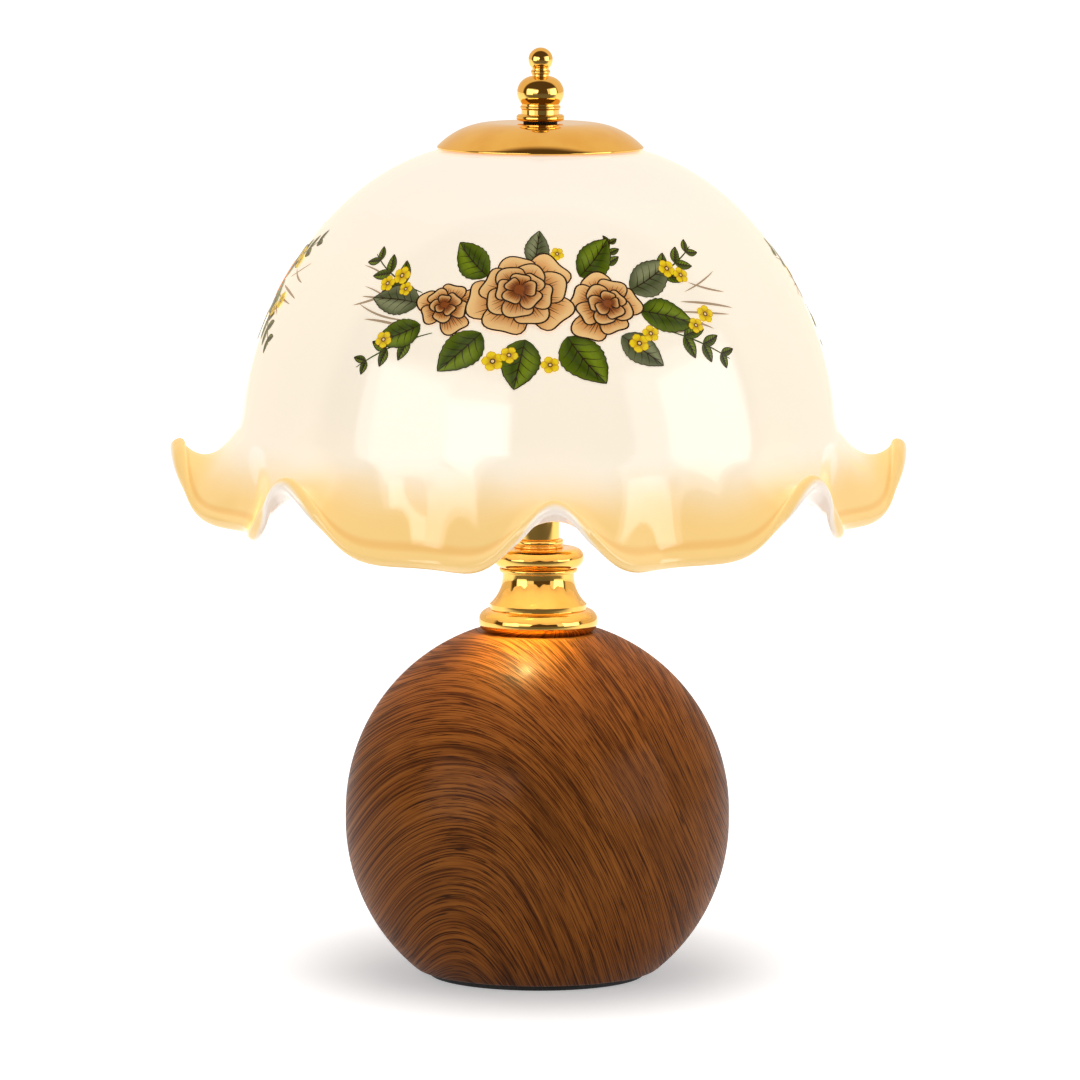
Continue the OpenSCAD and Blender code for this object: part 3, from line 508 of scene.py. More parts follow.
def grain_noise(tree, place, layer, slow, fast):
    """Noise that changes slowly along the layers and fast from one to the next."""
    first = reckon(tree, "MULTIPLY", along(tree, place, drawn_out), slow)
    second = reckon(tree, "MULTIPLY", along(tree, place, crosswise), slow)
    spot = join(tree, first, second, reckon(tree, "MULTIPLY", layer, fast))
    return noise(tree, spot, 1.0, 2.0)


def turned_wood():
    """Brown wood with arcs of grain under a satin lacquer."""
    made, tree, shader = new_finish("turned_wood")
    outward = vector_step(tree, "NORMALIZE", vector_step(tree, "SUBTRACT", own_place(tree), ball_middle))
    sway = noise(tree, outward, 1.5, 0.0)
    from_heart = vector_step(tree, "SUBTRACT", outward, heart)
    aside = along(tree, from_heart, across_oval)
    ahead = reckon(tree, "MULTIPLY", along(tree, from_heart, along_oval), OVAL)
    growth = reckon(tree, "MULTIPLY_ADD", ahead, OVAL_GROWTH / OVAL, 1.0)
    lengthwise = reckon(tree, "MULTIPLY", reckon(tree, "MULTIPLY", ahead, ahead), growth)
    oval = reckon(tree, "SQRT", reckon(tree, "MULTIPLY_ADD", aside, aside, lengthwise))
    layer = reckon(tree, "MULTIPLY_ADD", sway, LAYER_SWAY, oval)
    bands, streaks, pores = [grain_noise(tree, outward, layer, *kind) for kind in (BANDS, STREAKS, PORES)]
    body = blend_colours(tree, ramp(tree, streaks, 0.38, 0.66), WOOD_MIDDLE, WOOD_LIGHT)
    toned = blend_colours(tree, ramp(tree, bands, 0.48, 0.74, 0.0, 0.50), body, WOOD_DEEP)
    lined = blend_colours(tree, ramp(tree, streaks, 0.48, 0.36, 0.0, 0.72), toned, WOOD_DEEP)
    dotted = blend_colours(tree, ramp(tree, pores, 0.55, 0.65, 0.0, 0.90), lined, PORE)
    relief = reckon(tree, "SUBTRACT", streaks, ramp(tree, pores, 0.54, 0.64))
    feed(tree, shader, {
        "Base Color": dotted,
        "Roughness": ramp(tree, streaks, 0.3, 0.7, 0.50, 0.40),
        "Normal": relief_normal(tree, 0.10, WOOD_DEPTH, relief),
        "Specular IOR Level": 0.04,
        "Coat Weight": 0.06,
        "Coat Roughness": 0.12,
    })
    return made


wood = turned_wood()
print("the heart of the trunk passes", HEART_BELOW, "ball radii below the ball's middle")

# %% [markdown]
# ## Turning on a lathe
# Most of this lamp is turned, so one helper spins an outline of radius and height into a closed mesh, as
# a lathe does. Outlines are short lists of corners, eased where a real edge is eased, and arcs. A shape
# rule may change a point with its angle, which makes hexagons and threads with the same helper.

# %% Outlines
import bmesh

mm = 0.001


def arc(middle, radius, start, end, count=16):
    """Points on a circle round (r, z), between two angles in degrees from the outward direction."""
    angles = [math.radians(start + (end - start) * i / count) for i in range(count + 1)]
    return [(middle[0] + radius * math.cos(a), middle[1] + radius * math.sin(a)) for a in angles]


def eased(corners, count=4):
    """An outline whose corners (r, z, rounding) are rounded off."""
    made = []
    last = len(corners) - 1
    for i, (r, z, rounding) in enumerate(corners):
        here = Vector((r, z))
        if rounding == 0 or i in (0, last):
            made.append((r, z))
            continue
        back = Vector(corners[i - 1][:2]) - here
        ahead = Vector(corners[i + 1][:2]) - here
        half = back.angle(ahead) / 2
        reach = min(rounding / math.tan(half), 0.49 * back.length, 0.49 * ahead.length)
        start = here + back.normalized() * reach
        end = here + ahead.normalized() * reach
        pull = math.sin(half)
        for k in range(count + 1):
            t = k / count
            weights = ((1 - t) ** 2, 2 * pull * t * (1 - t), t * t)
            point = (weights[0] * start + weights[1] * here + weights[2] * end) / sum(weights)
            made.append(tuple(point))
    return made


print("outline helpers ready")

# %% Lathe
def mesh_from(builder, name):
    """Turn what a mesh builder holds into a mesh."""
    mesh = bpy.data.meshes.new(name)
    builder.to_mesh(mesh)
    builder.free()
    return mesh


def lathe_mesh(outline, loop=False, steps=144, shape=None):
    """Spin an outline round the Z axis. It starts and ends on the axis, or is a closed loop."""
    builder = bmesh.new()
    rings = []
    for r, z in outline:
        if r < 1e-7:
            rings.append([builder.verts.new((0.0, 0.0, z))] * steps)
            continue
        ring = []
        for k in range(steps):
            a = 2 * math.pi * k / steps
            radius, height = shape(a, r, z) if shape else (r, z)
            ring.append(builder.verts.new((radius * math.sin(a), -radius * math.cos(a), height)))
        rings.append(ring)
    for first, second in zip(rings, rings[1:] + (rings[:1] if loop else [])):
        for k in range(steps):
            n = (k + 1) % steps
            face = list(dict.fromkeys((first[k], first[n], second[n], second[k])))
            if len(face) > 2:
                builder.faces.new(face)
    bmesh.ops.recalc_face_normals(builder, faces=builder.faces)
    return mesh_from(builder, "turned")


print("lathe ready")

# %% Dressing a piece
SMOOTH_ANGLE = math.radians(32)


def polish(mesh):
    """Shade curved stretches smooth and keep real edges sharp."""
    mesh.polygons.foreach_set("use_smooth", [True] * len(mesh.polygons))
    mesh.set_sharp_from_angle(angle=SMOOTH_ANGLE)
    return mesh


def dress(name, mesh, finish, body, slot, *nodes):
    """Put a finished mesh into the lamp: its finish, the body it rides on and the solids it replaces."""
    piece = add_object(name, polish(mesh))
    piece.data.materials.clear()
    piece.data.materials.append(finish)
    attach(piece, body)
    if nodes:
        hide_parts(*nodes)
    print(name, len(mesh.polygons), "faces")
    return piece


def settle(piece):
    """Turn a piece's modifiers into a plain mesh."""
    depsgraph = bpy.context.evaluated_depsgraph_get()
    mesh = bpy.data.meshes.new_from_object(piece.evaluated_get(depsgraph), depsgraph=depsgraph)
    piece.modifiers.clear()
    bpy.data.objects.remove(piece)
    return mesh


print("dressing helpers ready")

# %% [markdown]
# ## The wooden ball
# Two halves of a ball with a short straight band between them, flat on top where the neck stands, and
# with a hollow below for the nut and the terminals. At the back a pocket takes the bush that the mains
# lead passes through. The lathe gives the ball, and a Boolean cuts the pocket and its bore.

# %% Ball outline
BALL_BAND = 3.3 * mm
SEAT_R = 23 * mm
EDGE_R = 4 * mm
ROD_HOLE_R = 5.3 * mm
HOLLOW_R = 25 * mm
HOLLOW_H = 26 * mm
PLATE_R = 33.3 * mm
PLATE_T = 2 * mm
POCKET_R = 8.6 * mm
BUSH_HOLE_R = 5.0 * mm
ball_r = ball_high.x
upper_middle = ball_high.z - math.sqrt(ball_r ** 2 - SEAT_R ** 2)
lower_middle = upper_middle - BALL_BAND
edge_height = ball_low.z + EDGE_R
edge_middle = (math.sqrt((ball_r - EDGE_R) ** 2 - (lower_middle - edge_height) ** 2), edge_height)
top_angle = math.degrees(math.acos(SEAT_R / ball_r))
edge_angle = math.degrees(math.atan2(edge_height - lower_middle, edge_middle[0]))
ceiling = ball_low.z + HOLLOW_H
ball_outline = [
    (ROD_HOLE_R, ball_high.z),
    *arc((0.0, upper_middle), ball_r, top_angle, 0.0, 40),
    *arc((0.0, lower_middle), ball_r, 0.0, edge_angle, 36),
    *arc(edge_middle, EDGE_R, edge_angle, -90.0, 8),
    (PLATE_R, ball_low.z),
    (PLATE_R, ball_low.z + PLATE_T),
    (HOLLOW_R, ball_low.z + PLATE_T),
    (HOLLOW_R, ceiling),
    (ROD_HOLE_R, ceiling),
]
print("ball radius", round(ball_r / mm, 1), "mm")

# %% Inlet pocket
bush_low, bush_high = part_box("cord_bush")
inlet_height = (bush_low.z + bush_high.z) / 2
BUSH_FLANGE_T = 2 * mm
pocket_floor = bush_high.y - BUSH_FLANGE_T


def cutter_along_y(name, radius, start, end, height):
    """A cylinder along +Y that a Boolean cuts with."""
    builder = bmesh.new()
    upright = Matrix.Rotation(math.radians(90), 4, "X")
    middle = Matrix.Translation((0.0, (start + end) / 2, height)) @ upright
    depth = end - start
    bmesh.ops.create_cone(
        builder, cap_ends=True, segments=72, radius1=radius, radius2=radius, depth=depth, matrix=middle
    )
    return add_object(name, mesh_from(builder, name))


def cut_away(mesh, tools):
    """The mesh with each tool's shape taken out of it; the tools are used up."""
    blank = add_object("blank", mesh)
    for tool in tools:
        step = blank.modifiers.new("cut", "BOOLEAN")
        step.operation = "DIFFERENCE"
        step.solver = "EXACT"
        step.object = tool
    result = settle(blank)
    for tool in tools:
        bpy.data.objects.remove(tool)
    return result


ball_blank = lathe_mesh(ball_outline, loop=True, steps=180)
inlet_tools = [
    cutter_along_y("pocket_tool", POCKET_R, pocket_floor, ball_r + 2 * mm, inlet_height),
    cutter_along_y("bore_tool", BUSH_HOLE_R, 0.5 * HOLLOW_R, pocket_floor + mm, inlet_height),
]
dress("wood_ball", cut_away(ball_blank, inlet_tools), wood, "stand", "wood", "ball_base")

# %% Foot
foot_low, foot_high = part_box("foot_pad")
foot_outline = eased(
    [
        (0.0, foot_low.z, 0),
        (foot_high.x, foot_low.z, 0.5 * mm),
        (foot_high.x, foot_high.z, 0.3 * mm),
        (0.0, foot_high.z, 0),
    ]
)
dress("rubber_foot", lathe_mesh(foot_outline), rubber, "stand", "black_rubber", "foot_pad")

# %% [markdown]
# ## The inlet bush
# A flanged bush lines the hole for the mains lead. It is turned too, then laid along +Y, so its mesh is
# turned once and its object stays at the origin.

# %% Inlet bush
BUSH_BORE_R = 3.5 * mm
BUSH_SLEEVE_R = 4.7 * mm
flange_r = bush_high.x
sleeve_start = bush_low.y
bush_outline = eased(
    [
        (BUSH_BORE_R, sleeve_start, 0),
        (BUSH_SLEEVE_R, sleeve_start, 0.3 * mm),
        (BUSH_SLEEVE_R, pocket_floor, 0),
        (flange_r, pocket_floor, 0.3 * mm),
        (flange_r, bush_high.y, 0.9 * mm),
        (BUSH_BORE_R, bush_high.y, 0.7 * mm),
        (BUSH_BORE_R, sleeve_start, 0),
    ]
)[:-1]
bush_mesh = lathe_mesh(bush_outline, loop=True, steps=96)
laid_down = Matrix.Rotation(math.radians(-90), 4, "X")
bush_mesh.transform(Matrix.Translation((0.0, 0.0, inlet_height)) @ laid_down)
dress("inlet_bush", bush_mesh, black_plastic, "stand", "black_plastic", "cord_bush")

# %% [markdown]
# ## The brass neck
# The neck is one turned bell: a thick bead at the foot, a ledge, a hollow curve up to the waist, a thin
# ring and a bead on top. Above it a small collar and a plain tube carry everything else. Every edge is
# eased a little, because an eased edge catches a thin line of light and a sharp one doesn't.

# %% Neck
# Each bead: the radius and height of its middle, and its own radius
LOW_BEAD = (16.3 * mm, 3.8 * mm, 4.2 * mm)
LEDGE_R = 16.6 * mm
WAIST_R = 12.3 * mm
WAIST_Z = 19.4 * mm
NECK_CURVE_R = 13.3 * mm
RING_R = 13.4 * mm
RING_Z = (20.6 * mm, 22.0 * mm)
TOP_BEAD = (12.1 * mm, 25.5 * mm, 3.5 * mm)
NECK_VOID_R = 10.5 * mm
NECK_TOP_T = 2 * mm
neck_low, neck_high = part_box("neck_bell")
neck_h = neck_high.z - neck_low.z
foot_angle = -math.degrees(math.asin(LOW_BEAD[1] / LOW_BEAD[2]))
curve_middle = (WAIST_R + NECK_CURVE_R, WAIST_Z)
ledge_angle = 180 + math.degrees(math.acos((curve_middle[0] - LEDGE_R) / NECK_CURVE_R))
neck_outline = [
    (NECK_VOID_R, 0.0),
    *arc(LOW_BEAD[:2], LOW_BEAD[2], foot_angle, 86.0, 22),
    (LEDGE_R - 0.05 * mm, 8.25 * mm),
    (LEDGE_R, 8.45 * mm),
    *arc(curve_middle, NECK_CURVE_R, ledge_angle, 180.0, 22),
    *eased(
        [
            (WAIST_R, RING_Z[0] - 0.4 * mm, 0),
            (WAIST_R, RING_Z[0], 0.25 * mm),
            (RING_R, RING_Z[0], 0.5 * mm),
            (RING_R, RING_Z[1], 0.4 * mm),
            (TOP_BEAD[0] + 0.3 * mm, RING_Z[1], 0),
        ]
    ),
    *arc(TOP_BEAD[:2], TOP_BEAD[2], -84.0, 90.0, 22),
    (ROD_HOLE_R, neck_h),
    (ROD_HOLE_R, neck_h - NECK_TOP_T),
    (NECK_VOID_R, neck_h - NECK_TOP_T),
]
neck_points = [(r, neck_low.z + z) for r, z in neck_outline]
dress("brass_neck", lathe_mesh(neck_points, loop=True, steps=192), brass, "stand", "brass", "neck_bell")

# %% Collar, tube and flange
def sleeve(node, corners):
    """A ring round the rod whose outer outline is given from its underside, in (r, height, rounding)."""
    low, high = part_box(node)
    wall = [(ROD_HOLE_R, low.z, 0)] + [(r, low.z + z, rounding) for r, z, rounding in corners]
    return lathe_mesh(eased(wall + [(ROD_HOLE_R, high.z, 0)]), loop=True, steps=144)


collar_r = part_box("neck_collar")[1].x
collar_corners = [
    (collar_r, 0.0, 0.35 * mm),
    (collar_r, 0.9 * mm, 0.35 * mm),
    (collar_r - 0.7 * mm, 0.9 * mm, 0.1 * mm),
    (collar_r - 0.7 * mm, 1.2 * mm, 0.1 * mm),
    (collar_r, 1.2 * mm, 0.8 * mm),
    (collar_r, 3.0 * mm, 0.8 * mm),
]
dress("brass_collar", sleeve("neck_collar", collar_corners), brass, "stand", "brass", "neck_collar")
for name, node, rounding in (
    ("brass_tube", "column_tube", 0.2 * mm),
    ("brass_flange", "column_flange", 0.5 * mm),
):
    low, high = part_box(node)
    corners = [(high.x, 0.0, rounding), (high.x, high.z - low.z, rounding)]
    dress(name, sleeve(node, corners), brass, "stand", "brass", node)

# %% [markdown]
# ## Cap and finial
# The cap is spun from thin sheet: a flat middle that bends over into a curve and ends in a rounded edge.
# The finial that holds it down is turned from the solid and has a threaded bore. A thin dark washer lies
# between them, so that the finial doesn't scratch the cap.

# %% Cap
CAP_CURVE_R = 26 * mm
CAP_SHEET = 1.0 * mm
CAP_EDGE_R = CAP_SHEET / 2
STUD_HOLE_R = 3.3 * mm
cap_low, cap_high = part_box("shade_cap")
cap_curve_z = cap_high.z - CAP_CURVE_R
edge_place = (cap_high.x - CAP_EDGE_R, cap_low.z + CAP_EDGE_R)
edge_turn = math.degrees(math.asin((edge_place[1] - cap_curve_z) / (CAP_CURVE_R - CAP_EDGE_R)))
cap_reach = (CAP_CURVE_R - CAP_EDGE_R) * math.cos(math.radians(edge_turn))
cap_curve_middle = (edge_place[0] - cap_reach, cap_curve_z)
cap_outline = [
    (STUD_HOLE_R, cap_high.z),
    *arc(cap_curve_middle, CAP_CURVE_R, 90.0, edge_turn, 36),
    *arc(edge_place, CAP_EDGE_R, edge_turn, edge_turn - 180.0, 12)[1:-1],
    *arc(cap_curve_middle, CAP_CURVE_R - CAP_SHEET, edge_turn, 90.0, 24),
    (STUD_HOLE_R, cap_high.z - CAP_SHEET),
]
dress("brass_cap", lathe_mesh(cap_outline, loop=True, steps=192), brass, "shade_cap", "brass", "shade_cap")

# %% Washer
def plate_ring(node, hole, rounding, steps=120):
    """A flat ring with eased edges in the place of a node."""
    low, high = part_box(node)
    corners = [
        (hole, low.z, 0),
        (high.x, low.z, rounding),
        (high.x, high.z, rounding),
        (hole, high.z, 0),
    ]
    return lathe_mesh(eased(corners), loop=True, steps=steps)


pad_mesh = plate_ring("finial_washer", STUD_HOLE_R, 0.2 * mm, 144)
dress("finial_pad", pad_mesh, rubber, "finial_washer", "black_rubber", "finial_washer")

# %% Finial
# The foot's radius and height; the ring, bulge and bead are given as the neck's beads are
FINIAL_FOOT = (8.2 * mm, 2.3 * mm)
GROOVE_R = 6.5 * mm
FINIAL_RING = (6.08 * mm, 4.58 * mm, 0.84 * mm)
BULGE = (2.3 * mm, 9.6 * mm, 5.7 * mm)
FINIAL_NECK_R = 2.9 * mm
NECK_BEAD = (2.465 * mm, 16.6 * mm, 0.87 * mm)
TOP_BALL_Z = 20.8 * mm
TOP_BALL_R = 4.15 * mm
FINIAL_BORE_R = 3.05 * mm
FINIAL_BORE_H = 11.7 * mm
finial_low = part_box("finial")[0]
foot_round = FINIAL_FOOT[1] / 2
ring_turn = math.degrees(math.acos((GROOVE_R - FINIAL_RING[0]) / FINIAL_RING[2]))
bulge_start = -math.degrees(math.acos((GROOVE_R - BULGE[0]) / BULGE[2]))
bulge_end = math.degrees(math.acos((FINIAL_NECK_R - BULGE[0]) / BULGE[2]))
bead_turn = math.degrees(math.acos((FINIAL_NECK_R - NECK_BEAD[0]) / NECK_BEAD[2]))
ball_start = -math.degrees(math.acos(FINIAL_NECK_R / TOP_BALL_R))
finial_outline = [
    (0.0, FINIAL_BORE_H),
    (FINIAL_BORE_R, FINIAL_BORE_H),
    (FINIAL_BORE_R, 0.0),
    *arc((FINIAL_FOOT[0] - foot_round, foot_round), foot_round, -90.0, 90.0, 14),
    (GROOVE_R, FINIAL_FOOT[1]),
    *arc(FINIAL_RING[:2], FINIAL_RING[2], -ring_turn, ring_turn, 12),
    *arc(BULGE[:2], BULGE[2], bulge_start, bulge_end, 34),
    *arc(NECK_BEAD[:2], NECK_BEAD[2], -bead_turn, bead_turn, 12),
    *arc((0.0, TOP_BALL_Z), TOP_BALL_R, ball_start, 90.0, 28),
]
finial_points = [(max(r, 0.0), finial_low.z + z) for r, z in finial_outline]
dress("brass_finial", lathe_mesh(finial_points, steps=128), brass, "finial", "brass", "finial")

# %% [markdown]
# ## Geometry Nodes for what follows a rule
# The shade's ruffle and the printed flowers follow a rule or a surface, so node trees make them. A tree
# is built here in code with named inputs. A helper adds it to an object as a modifier, sets the inputs
# by the sockets' identifiers and turns the result into a plain mesh.

# %% Tree helpers
def new_tree(name, sockets):
    """An empty tree with a mesh going in and out and named inputs; gives the tree, its inputs and its end."""
    tree = bpy.data.node_groups.new(name, "GeometryNodeTree")
    tree.interface.new_socket("Geometry", in_out="OUTPUT", socket_type="NodeSocketGeometry")
    tree.interface.new_socket("Geometry", in_out="INPUT", socket_type="NodeSocketGeometry")
    for label, kind in sockets.items():
        tree.interface.new_socket(label, in_out="INPUT", socket_type="NodeSocket" + kind)
    return tree, put(tree, "NodeGroupInput").outputs, put(tree, "NodeGroupOutput").inputs[0]


def grow(mesh, tree, values):
    """Run a tree on a mesh with the given input values and give the plain mesh that comes out."""
    carrier = add_object("carrier", mesh)
    modifier = carrier.modifiers.new("grow", "NODES")
    modifier.node_group = tree
    for item in tree.interface.items_tree:
        if item.item_type == "SOCKET" and item.in_out == "INPUT" and item.name in values:
            modifier[item.identifier] = values[item.name]
    return settle(carrier)


def close_tree(tree, geometry, finish, end):
    """End a tree as each one ends here: instances made real, then the finish."""
    real = put(tree, "GeometryNodeRealizeInstances", {0: geometry}).outputs[0]
    wire(tree, end, put(tree, "GeometryNodeSetMaterial", {0: real, "Material": finish}).outputs[0])


def set_round(tree, geometry, radius, angle, height):
    """Move each point to a radius, an angle from the front and a height."""
    x = reckon(tree, "MULTIPLY", radius, reckon(tree, "SINE", angle))
    y = reckon(tree, "MULTIPLY", reckon(tree, "MULTIPLY", radius, reckon(tree, "COSINE", angle)), -1.0)
    target = join(tree, x, y, height)
    return put(tree, "GeometryNodeSetPosition", {0: geometry, "Position": target}).outputs[0]


def copies(tree, points, geometry, tilt, around):
    """A copy on each point, tilted about Y and then turned about the axis."""
    rotation = put(tree, "FunctionNodeEulerToRotation", {0: join(tree, 0.0, tilt, around)}).outputs[0]
    inputs = {"Points": points, "Instance": geometry, "Rotation": rotation}
    return put(tree, "GeometryNodeInstanceOnPoints", inputs).outputs[0]


def between(tree, share, first, second):
    """The point that lies a share of the way from the first to the second."""
    return put(tree, "ShaderNodeMix", {0: share, 4: first, 5: second}, data_type="VECTOR").outputs[1]


def cubic(tree, share, points):
    """Place and heading on a curve with two end points and two handles, by mixing points three times."""
    first = [between(tree, share, a, b) for a, b in zip(points, points[1:])]
    second = [between(tree, share, a, b) for a, b in zip(first, first[1:])]
    place = between(tree, share, *second)
    return place, vector_step(tree, "NORMALIZE", vector_step(tree, "SUBTRACT", second[1], second[0]))


print("tree helpers ready")

# %% [markdown]
# ## Opal glass
# The glass is milky white inside, cream on the dome, and runs into amber down the ruffle. Where the
# melted rim turns inwards the tint stops. The mesh carries two numbers for this: how far down the ruffle
# a point lies and how far round the rim it has turned. The glass has a painted glow that stands for the
# light of the bulb behind it, which is on, and it glows more inside the dome. A deeper amber line is
# painted in the crease above the rim's bead, as shade.

# %% Glass finish
CREAM = shown(252, 242, 224)
CROWN_CREAM = shown(249, 239, 228)
AMBER = shown(249, 211, 138)
CREASE_SHADE_AMBER = shown(232, 172, 84)
OPAL_WHITE = shown(246, 234, 222)
LAMP_TINT = (1.0, 0.95, 0.89, 1.0)
GLASS_GLOW = 0.445
INNER_GLOW = 0.3
CROWN_REACH = (0.245, 0.285)
TINT_REACH = (0.05, 0.78)
TINT_DRIFT = 0.35
CREASE_SHADE_SHARE = 0.4


def stored(tree, name):
    """A number that the mesh carries at each point."""
    return put(tree, "ShaderNodeAttribute", attribute_name=name).outputs["Fac"]


def opal_glass():
    """Cream to amber outside, white inside, with a glassy surface."""
    made, tree, shader = new_finish("opal_glass")
    place = own_place(tree)
    height = split(tree, place)["Z"]
    cloud = noise(tree, place, 32.0, 4.0)
    rim = stored(tree, "ruffle_t")
    turned = stored(tree, "turn")
    drift = reckon(tree, "MULTIPLY", reckon(tree, "SUBTRACT", cloud, 0.5), TINT_DRIFT)
    down = reckon(tree, "ADD", rim, drift)
    outside = ramp(tree, turned, 0.45 * math.pi, 0.85 * math.pi, 1.0, 0.0)
    inside = ramp(tree, turned, 0.50 * math.pi, 0.90 * math.pi)
    tint = reckon(tree, "MULTIPLY", ramp(tree, down, *TINT_REACH), outside)
    cream = blend_colours(tree, ramp(tree, height, *CROWN_REACH), CREAM, CROWN_CREAM)
    tinted = blend_colours(tree, tint, cream, AMBER)
    # Painted shade: a deeper amber line in the crease just above the rim's bead.
    crease = reckon(tree, "MINIMUM", ramp(tree, rim, 0.85, 0.90), ramp(tree, rim, 0.91, 0.96, 1.0, 0.0))
    tinted = blend_colours(tree, reckon(tree, "MULTIPLY", crease, CREASE_SHADE_SHARE), tinted, CREASE_SHADE_AMBER)
    colour = blend_colours(tree, inside, tinted, OPAL_WHITE)
    # Painted glow: the glass colour, tinted warm as lamp light, shines out of the surface and is stronger
    # inside the dome, standing in for the bulb's light coming through.
    inputs = {0: 1.0, 6: colour, 7: LAMP_TINT}
    lit = put(tree, "ShaderNodeMix", inputs, data_type="RGBA", blend_type="MULTIPLY").outputs[2]
    inner_painted_glow = reckon(tree, "MULTIPLY", inside, ramp(tree, rim, 0.10, 0.60, INNER_GLOW, 0.0))
    feed(tree, shader, {
        "Base Color": colour,
        "Emission Color": lit,
        "Emission Strength": reckon(tree, "MULTIPLY_ADD", inner_painted_glow, GLASS_GLOW, GLASS_GLOW),
        "Roughness": ramp(tree, cloud, 0.3, 0.7, 0.08, 0.12),
        "Specular IOR Level": 0.8,
    })
    return made


glass = opal_glass()
print("glass made")

# %% [markdown]
# ## The glass shade
# A meridian of the shade is a flat crown, a dome curve down to the waist and a ruffle curve. All
# meridians share the first two. In the ruffle they swing between a hanging lobe and an arch that flares
# out, eight times round, and the rule for that is a raised cosine. The base mesh is a closed sleeve
# whose rows only know where they belong. The tree gives each row its place, the wall its thickness and
# the rim its round edge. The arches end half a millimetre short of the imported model's, which leaves room
# for the bead on the rim.

# %% Shade tree
DOME_NAMES = ("Crown", "Crown handle", "Waist handle", "Waist")
SKIRT_NAMES = ("Ruffle handle", "Lobe handle", "Lobe end", "Arch handle", "Arch end")
RUFFLE_INPUTS = {
    **dict.fromkeys(DOME_NAMES + SKIRT_NAMES, "Vector"),
    "Hole inset": "Float", "Ruffles": "Int", "Turn": "Float", "Reach power": "Float",
    "Lift power": "Float", "Sway": "Float", "Wall": "Float", "Bead": "Float", "Rim bulge": "Float",
    "Glass": "Material",
}
BEAD_REACH = (0.90, 1.0)


def ruffle_tree():
    """Shapes the sleeve into the ruffled shade."""
    tree, given, end = new_tree("ruffled_shade", RUFFLE_INPUTS)

    def row_value(name):
        inputs = {"Name": name}
        return put(tree, "GeometryNodeInputNamedAttribute", inputs, data_type="FLOAT").outputs[0]

    spot = split(tree, put(tree, "GeometryNodeInputPosition").outputs[0])
    angle = reckon(tree, "ARCTAN2", spot["X"], reckon(tree, "MULTIPLY", spot["Y"], -1.0))
    swing = reckon(tree, "MULTIPLY", reckon(tree, "SUBTRACT", angle, given["Turn"]), given["Ruffles"])
    crest = reckon(tree, "MULTIPLY_ADD", reckon(tree, "COSINE", swing), 0.5, 0.5)
    shy = reckon(tree, "POWER", reckon(tree, "SUBTRACT", 1.0, crest), given["Reach power"])
    reach = reckon(tree, "SUBTRACT", 1.0, shy)
    lift = reckon(tree, "POWER", crest, given["Lift power"])
    twice = reckon(tree, "COSINE", reckon(tree, "MULTIPLY", angle, 2.0))
    sway = reckon(tree, "MULTIPLY", reckon(tree, "MULTIPLY", twice, -1.0), given["Sway"])
    shares = join(tree, reach, 0.0, lift)

    def lobe_to_arch(lobe, arch, extra):
        inputs = {1: shares, 4: lobe, 5: arch}
        mixed = put(tree, "ShaderNodeMix", inputs, data_type="VECTOR", factor_mode="NON_UNIFORM").outputs[1]
        return vector_step(tree, "ADD", mixed, join(tree, 0.0, 0.0, extra))

    swayed_handle = reckon(tree, "MULTIPLY", sway, lift)
    lower_handle = lobe_to_arch(given["Lobe handle"], given["Arch handle"], swayed_handle)
    lower_end = lobe_to_arch(given["Lobe end"], given["Arch end"], sway)
    dome, dome_heading = cubic(tree, row_value("dome_t"), [given[name] for name in DOME_NAMES])
    skirt_points = [given["Waist"], given["Ruffle handle"], lower_handle, lower_end]
    skirt, skirt_heading = cubic(tree, row_value("ruffle_t"), skirt_points)
    in_skirt = reckon(tree, "GREATER_THAN", row_value("ruffle_t"), 0.0)
    heading = split(tree, between(tree, in_skirt, dome_heading, skirt_heading))
    drop = vector_step(tree, "SUBTRACT", skirt, given["Waist"])
    path = split(tree, vector_step(tree, "ADD", dome, drop))
    half = reckon(tree, "MULTIPLY", given["Wall"], 0.5)
    turned = row_value("turn")
    bead = reckon(tree, "MULTIPLY", ramp(tree, row_value("ruffle_t"), *BEAD_REACH), given["Bead"])
    swollen = reckon(tree, "ADD", half, bead)
    sideways = reckon(tree, "MULTIPLY", reckon(tree, "COSINE", turned), swollen)
    sideways = reckon(tree, "SUBTRACT", sideways, half)
    onward = reckon(tree, "MULTIPLY", reckon(tree, "SINE", turned), swollen)
    onward = reckon(tree, "MULTIPLY", onward, given["Rim bulge"])
    onward = reckon(tree, "SUBTRACT", onward, bead)
    inset = reckon(tree, "MULTIPLY", row_value("crown_t"), given["Hole inset"])
    radius = reckon(tree, "SUBTRACT", path["X"], inset)
    radius = reckon(tree, "SUBTRACT", radius, reckon(tree, "MULTIPLY", sideways, heading["Z"]))
    radius = reckon(tree, "ADD", radius, reckon(tree, "MULTIPLY", onward, heading["X"]))
    height = reckon(tree, "ADD", path["Z"], reckon(tree, "MULTIPLY", sideways, heading["X"]))
    height = reckon(tree, "ADD", height, reckon(tree, "MULTIPLY", onward, heading["Z"]))
    close_tree(tree, set_round(tree, given["Geometry"], radius, angle, height), given["Glass"], end)
    return tree


shade_tree = ruffle_tree()
print("shade tree:", len(shade_tree.nodes), "nodes")

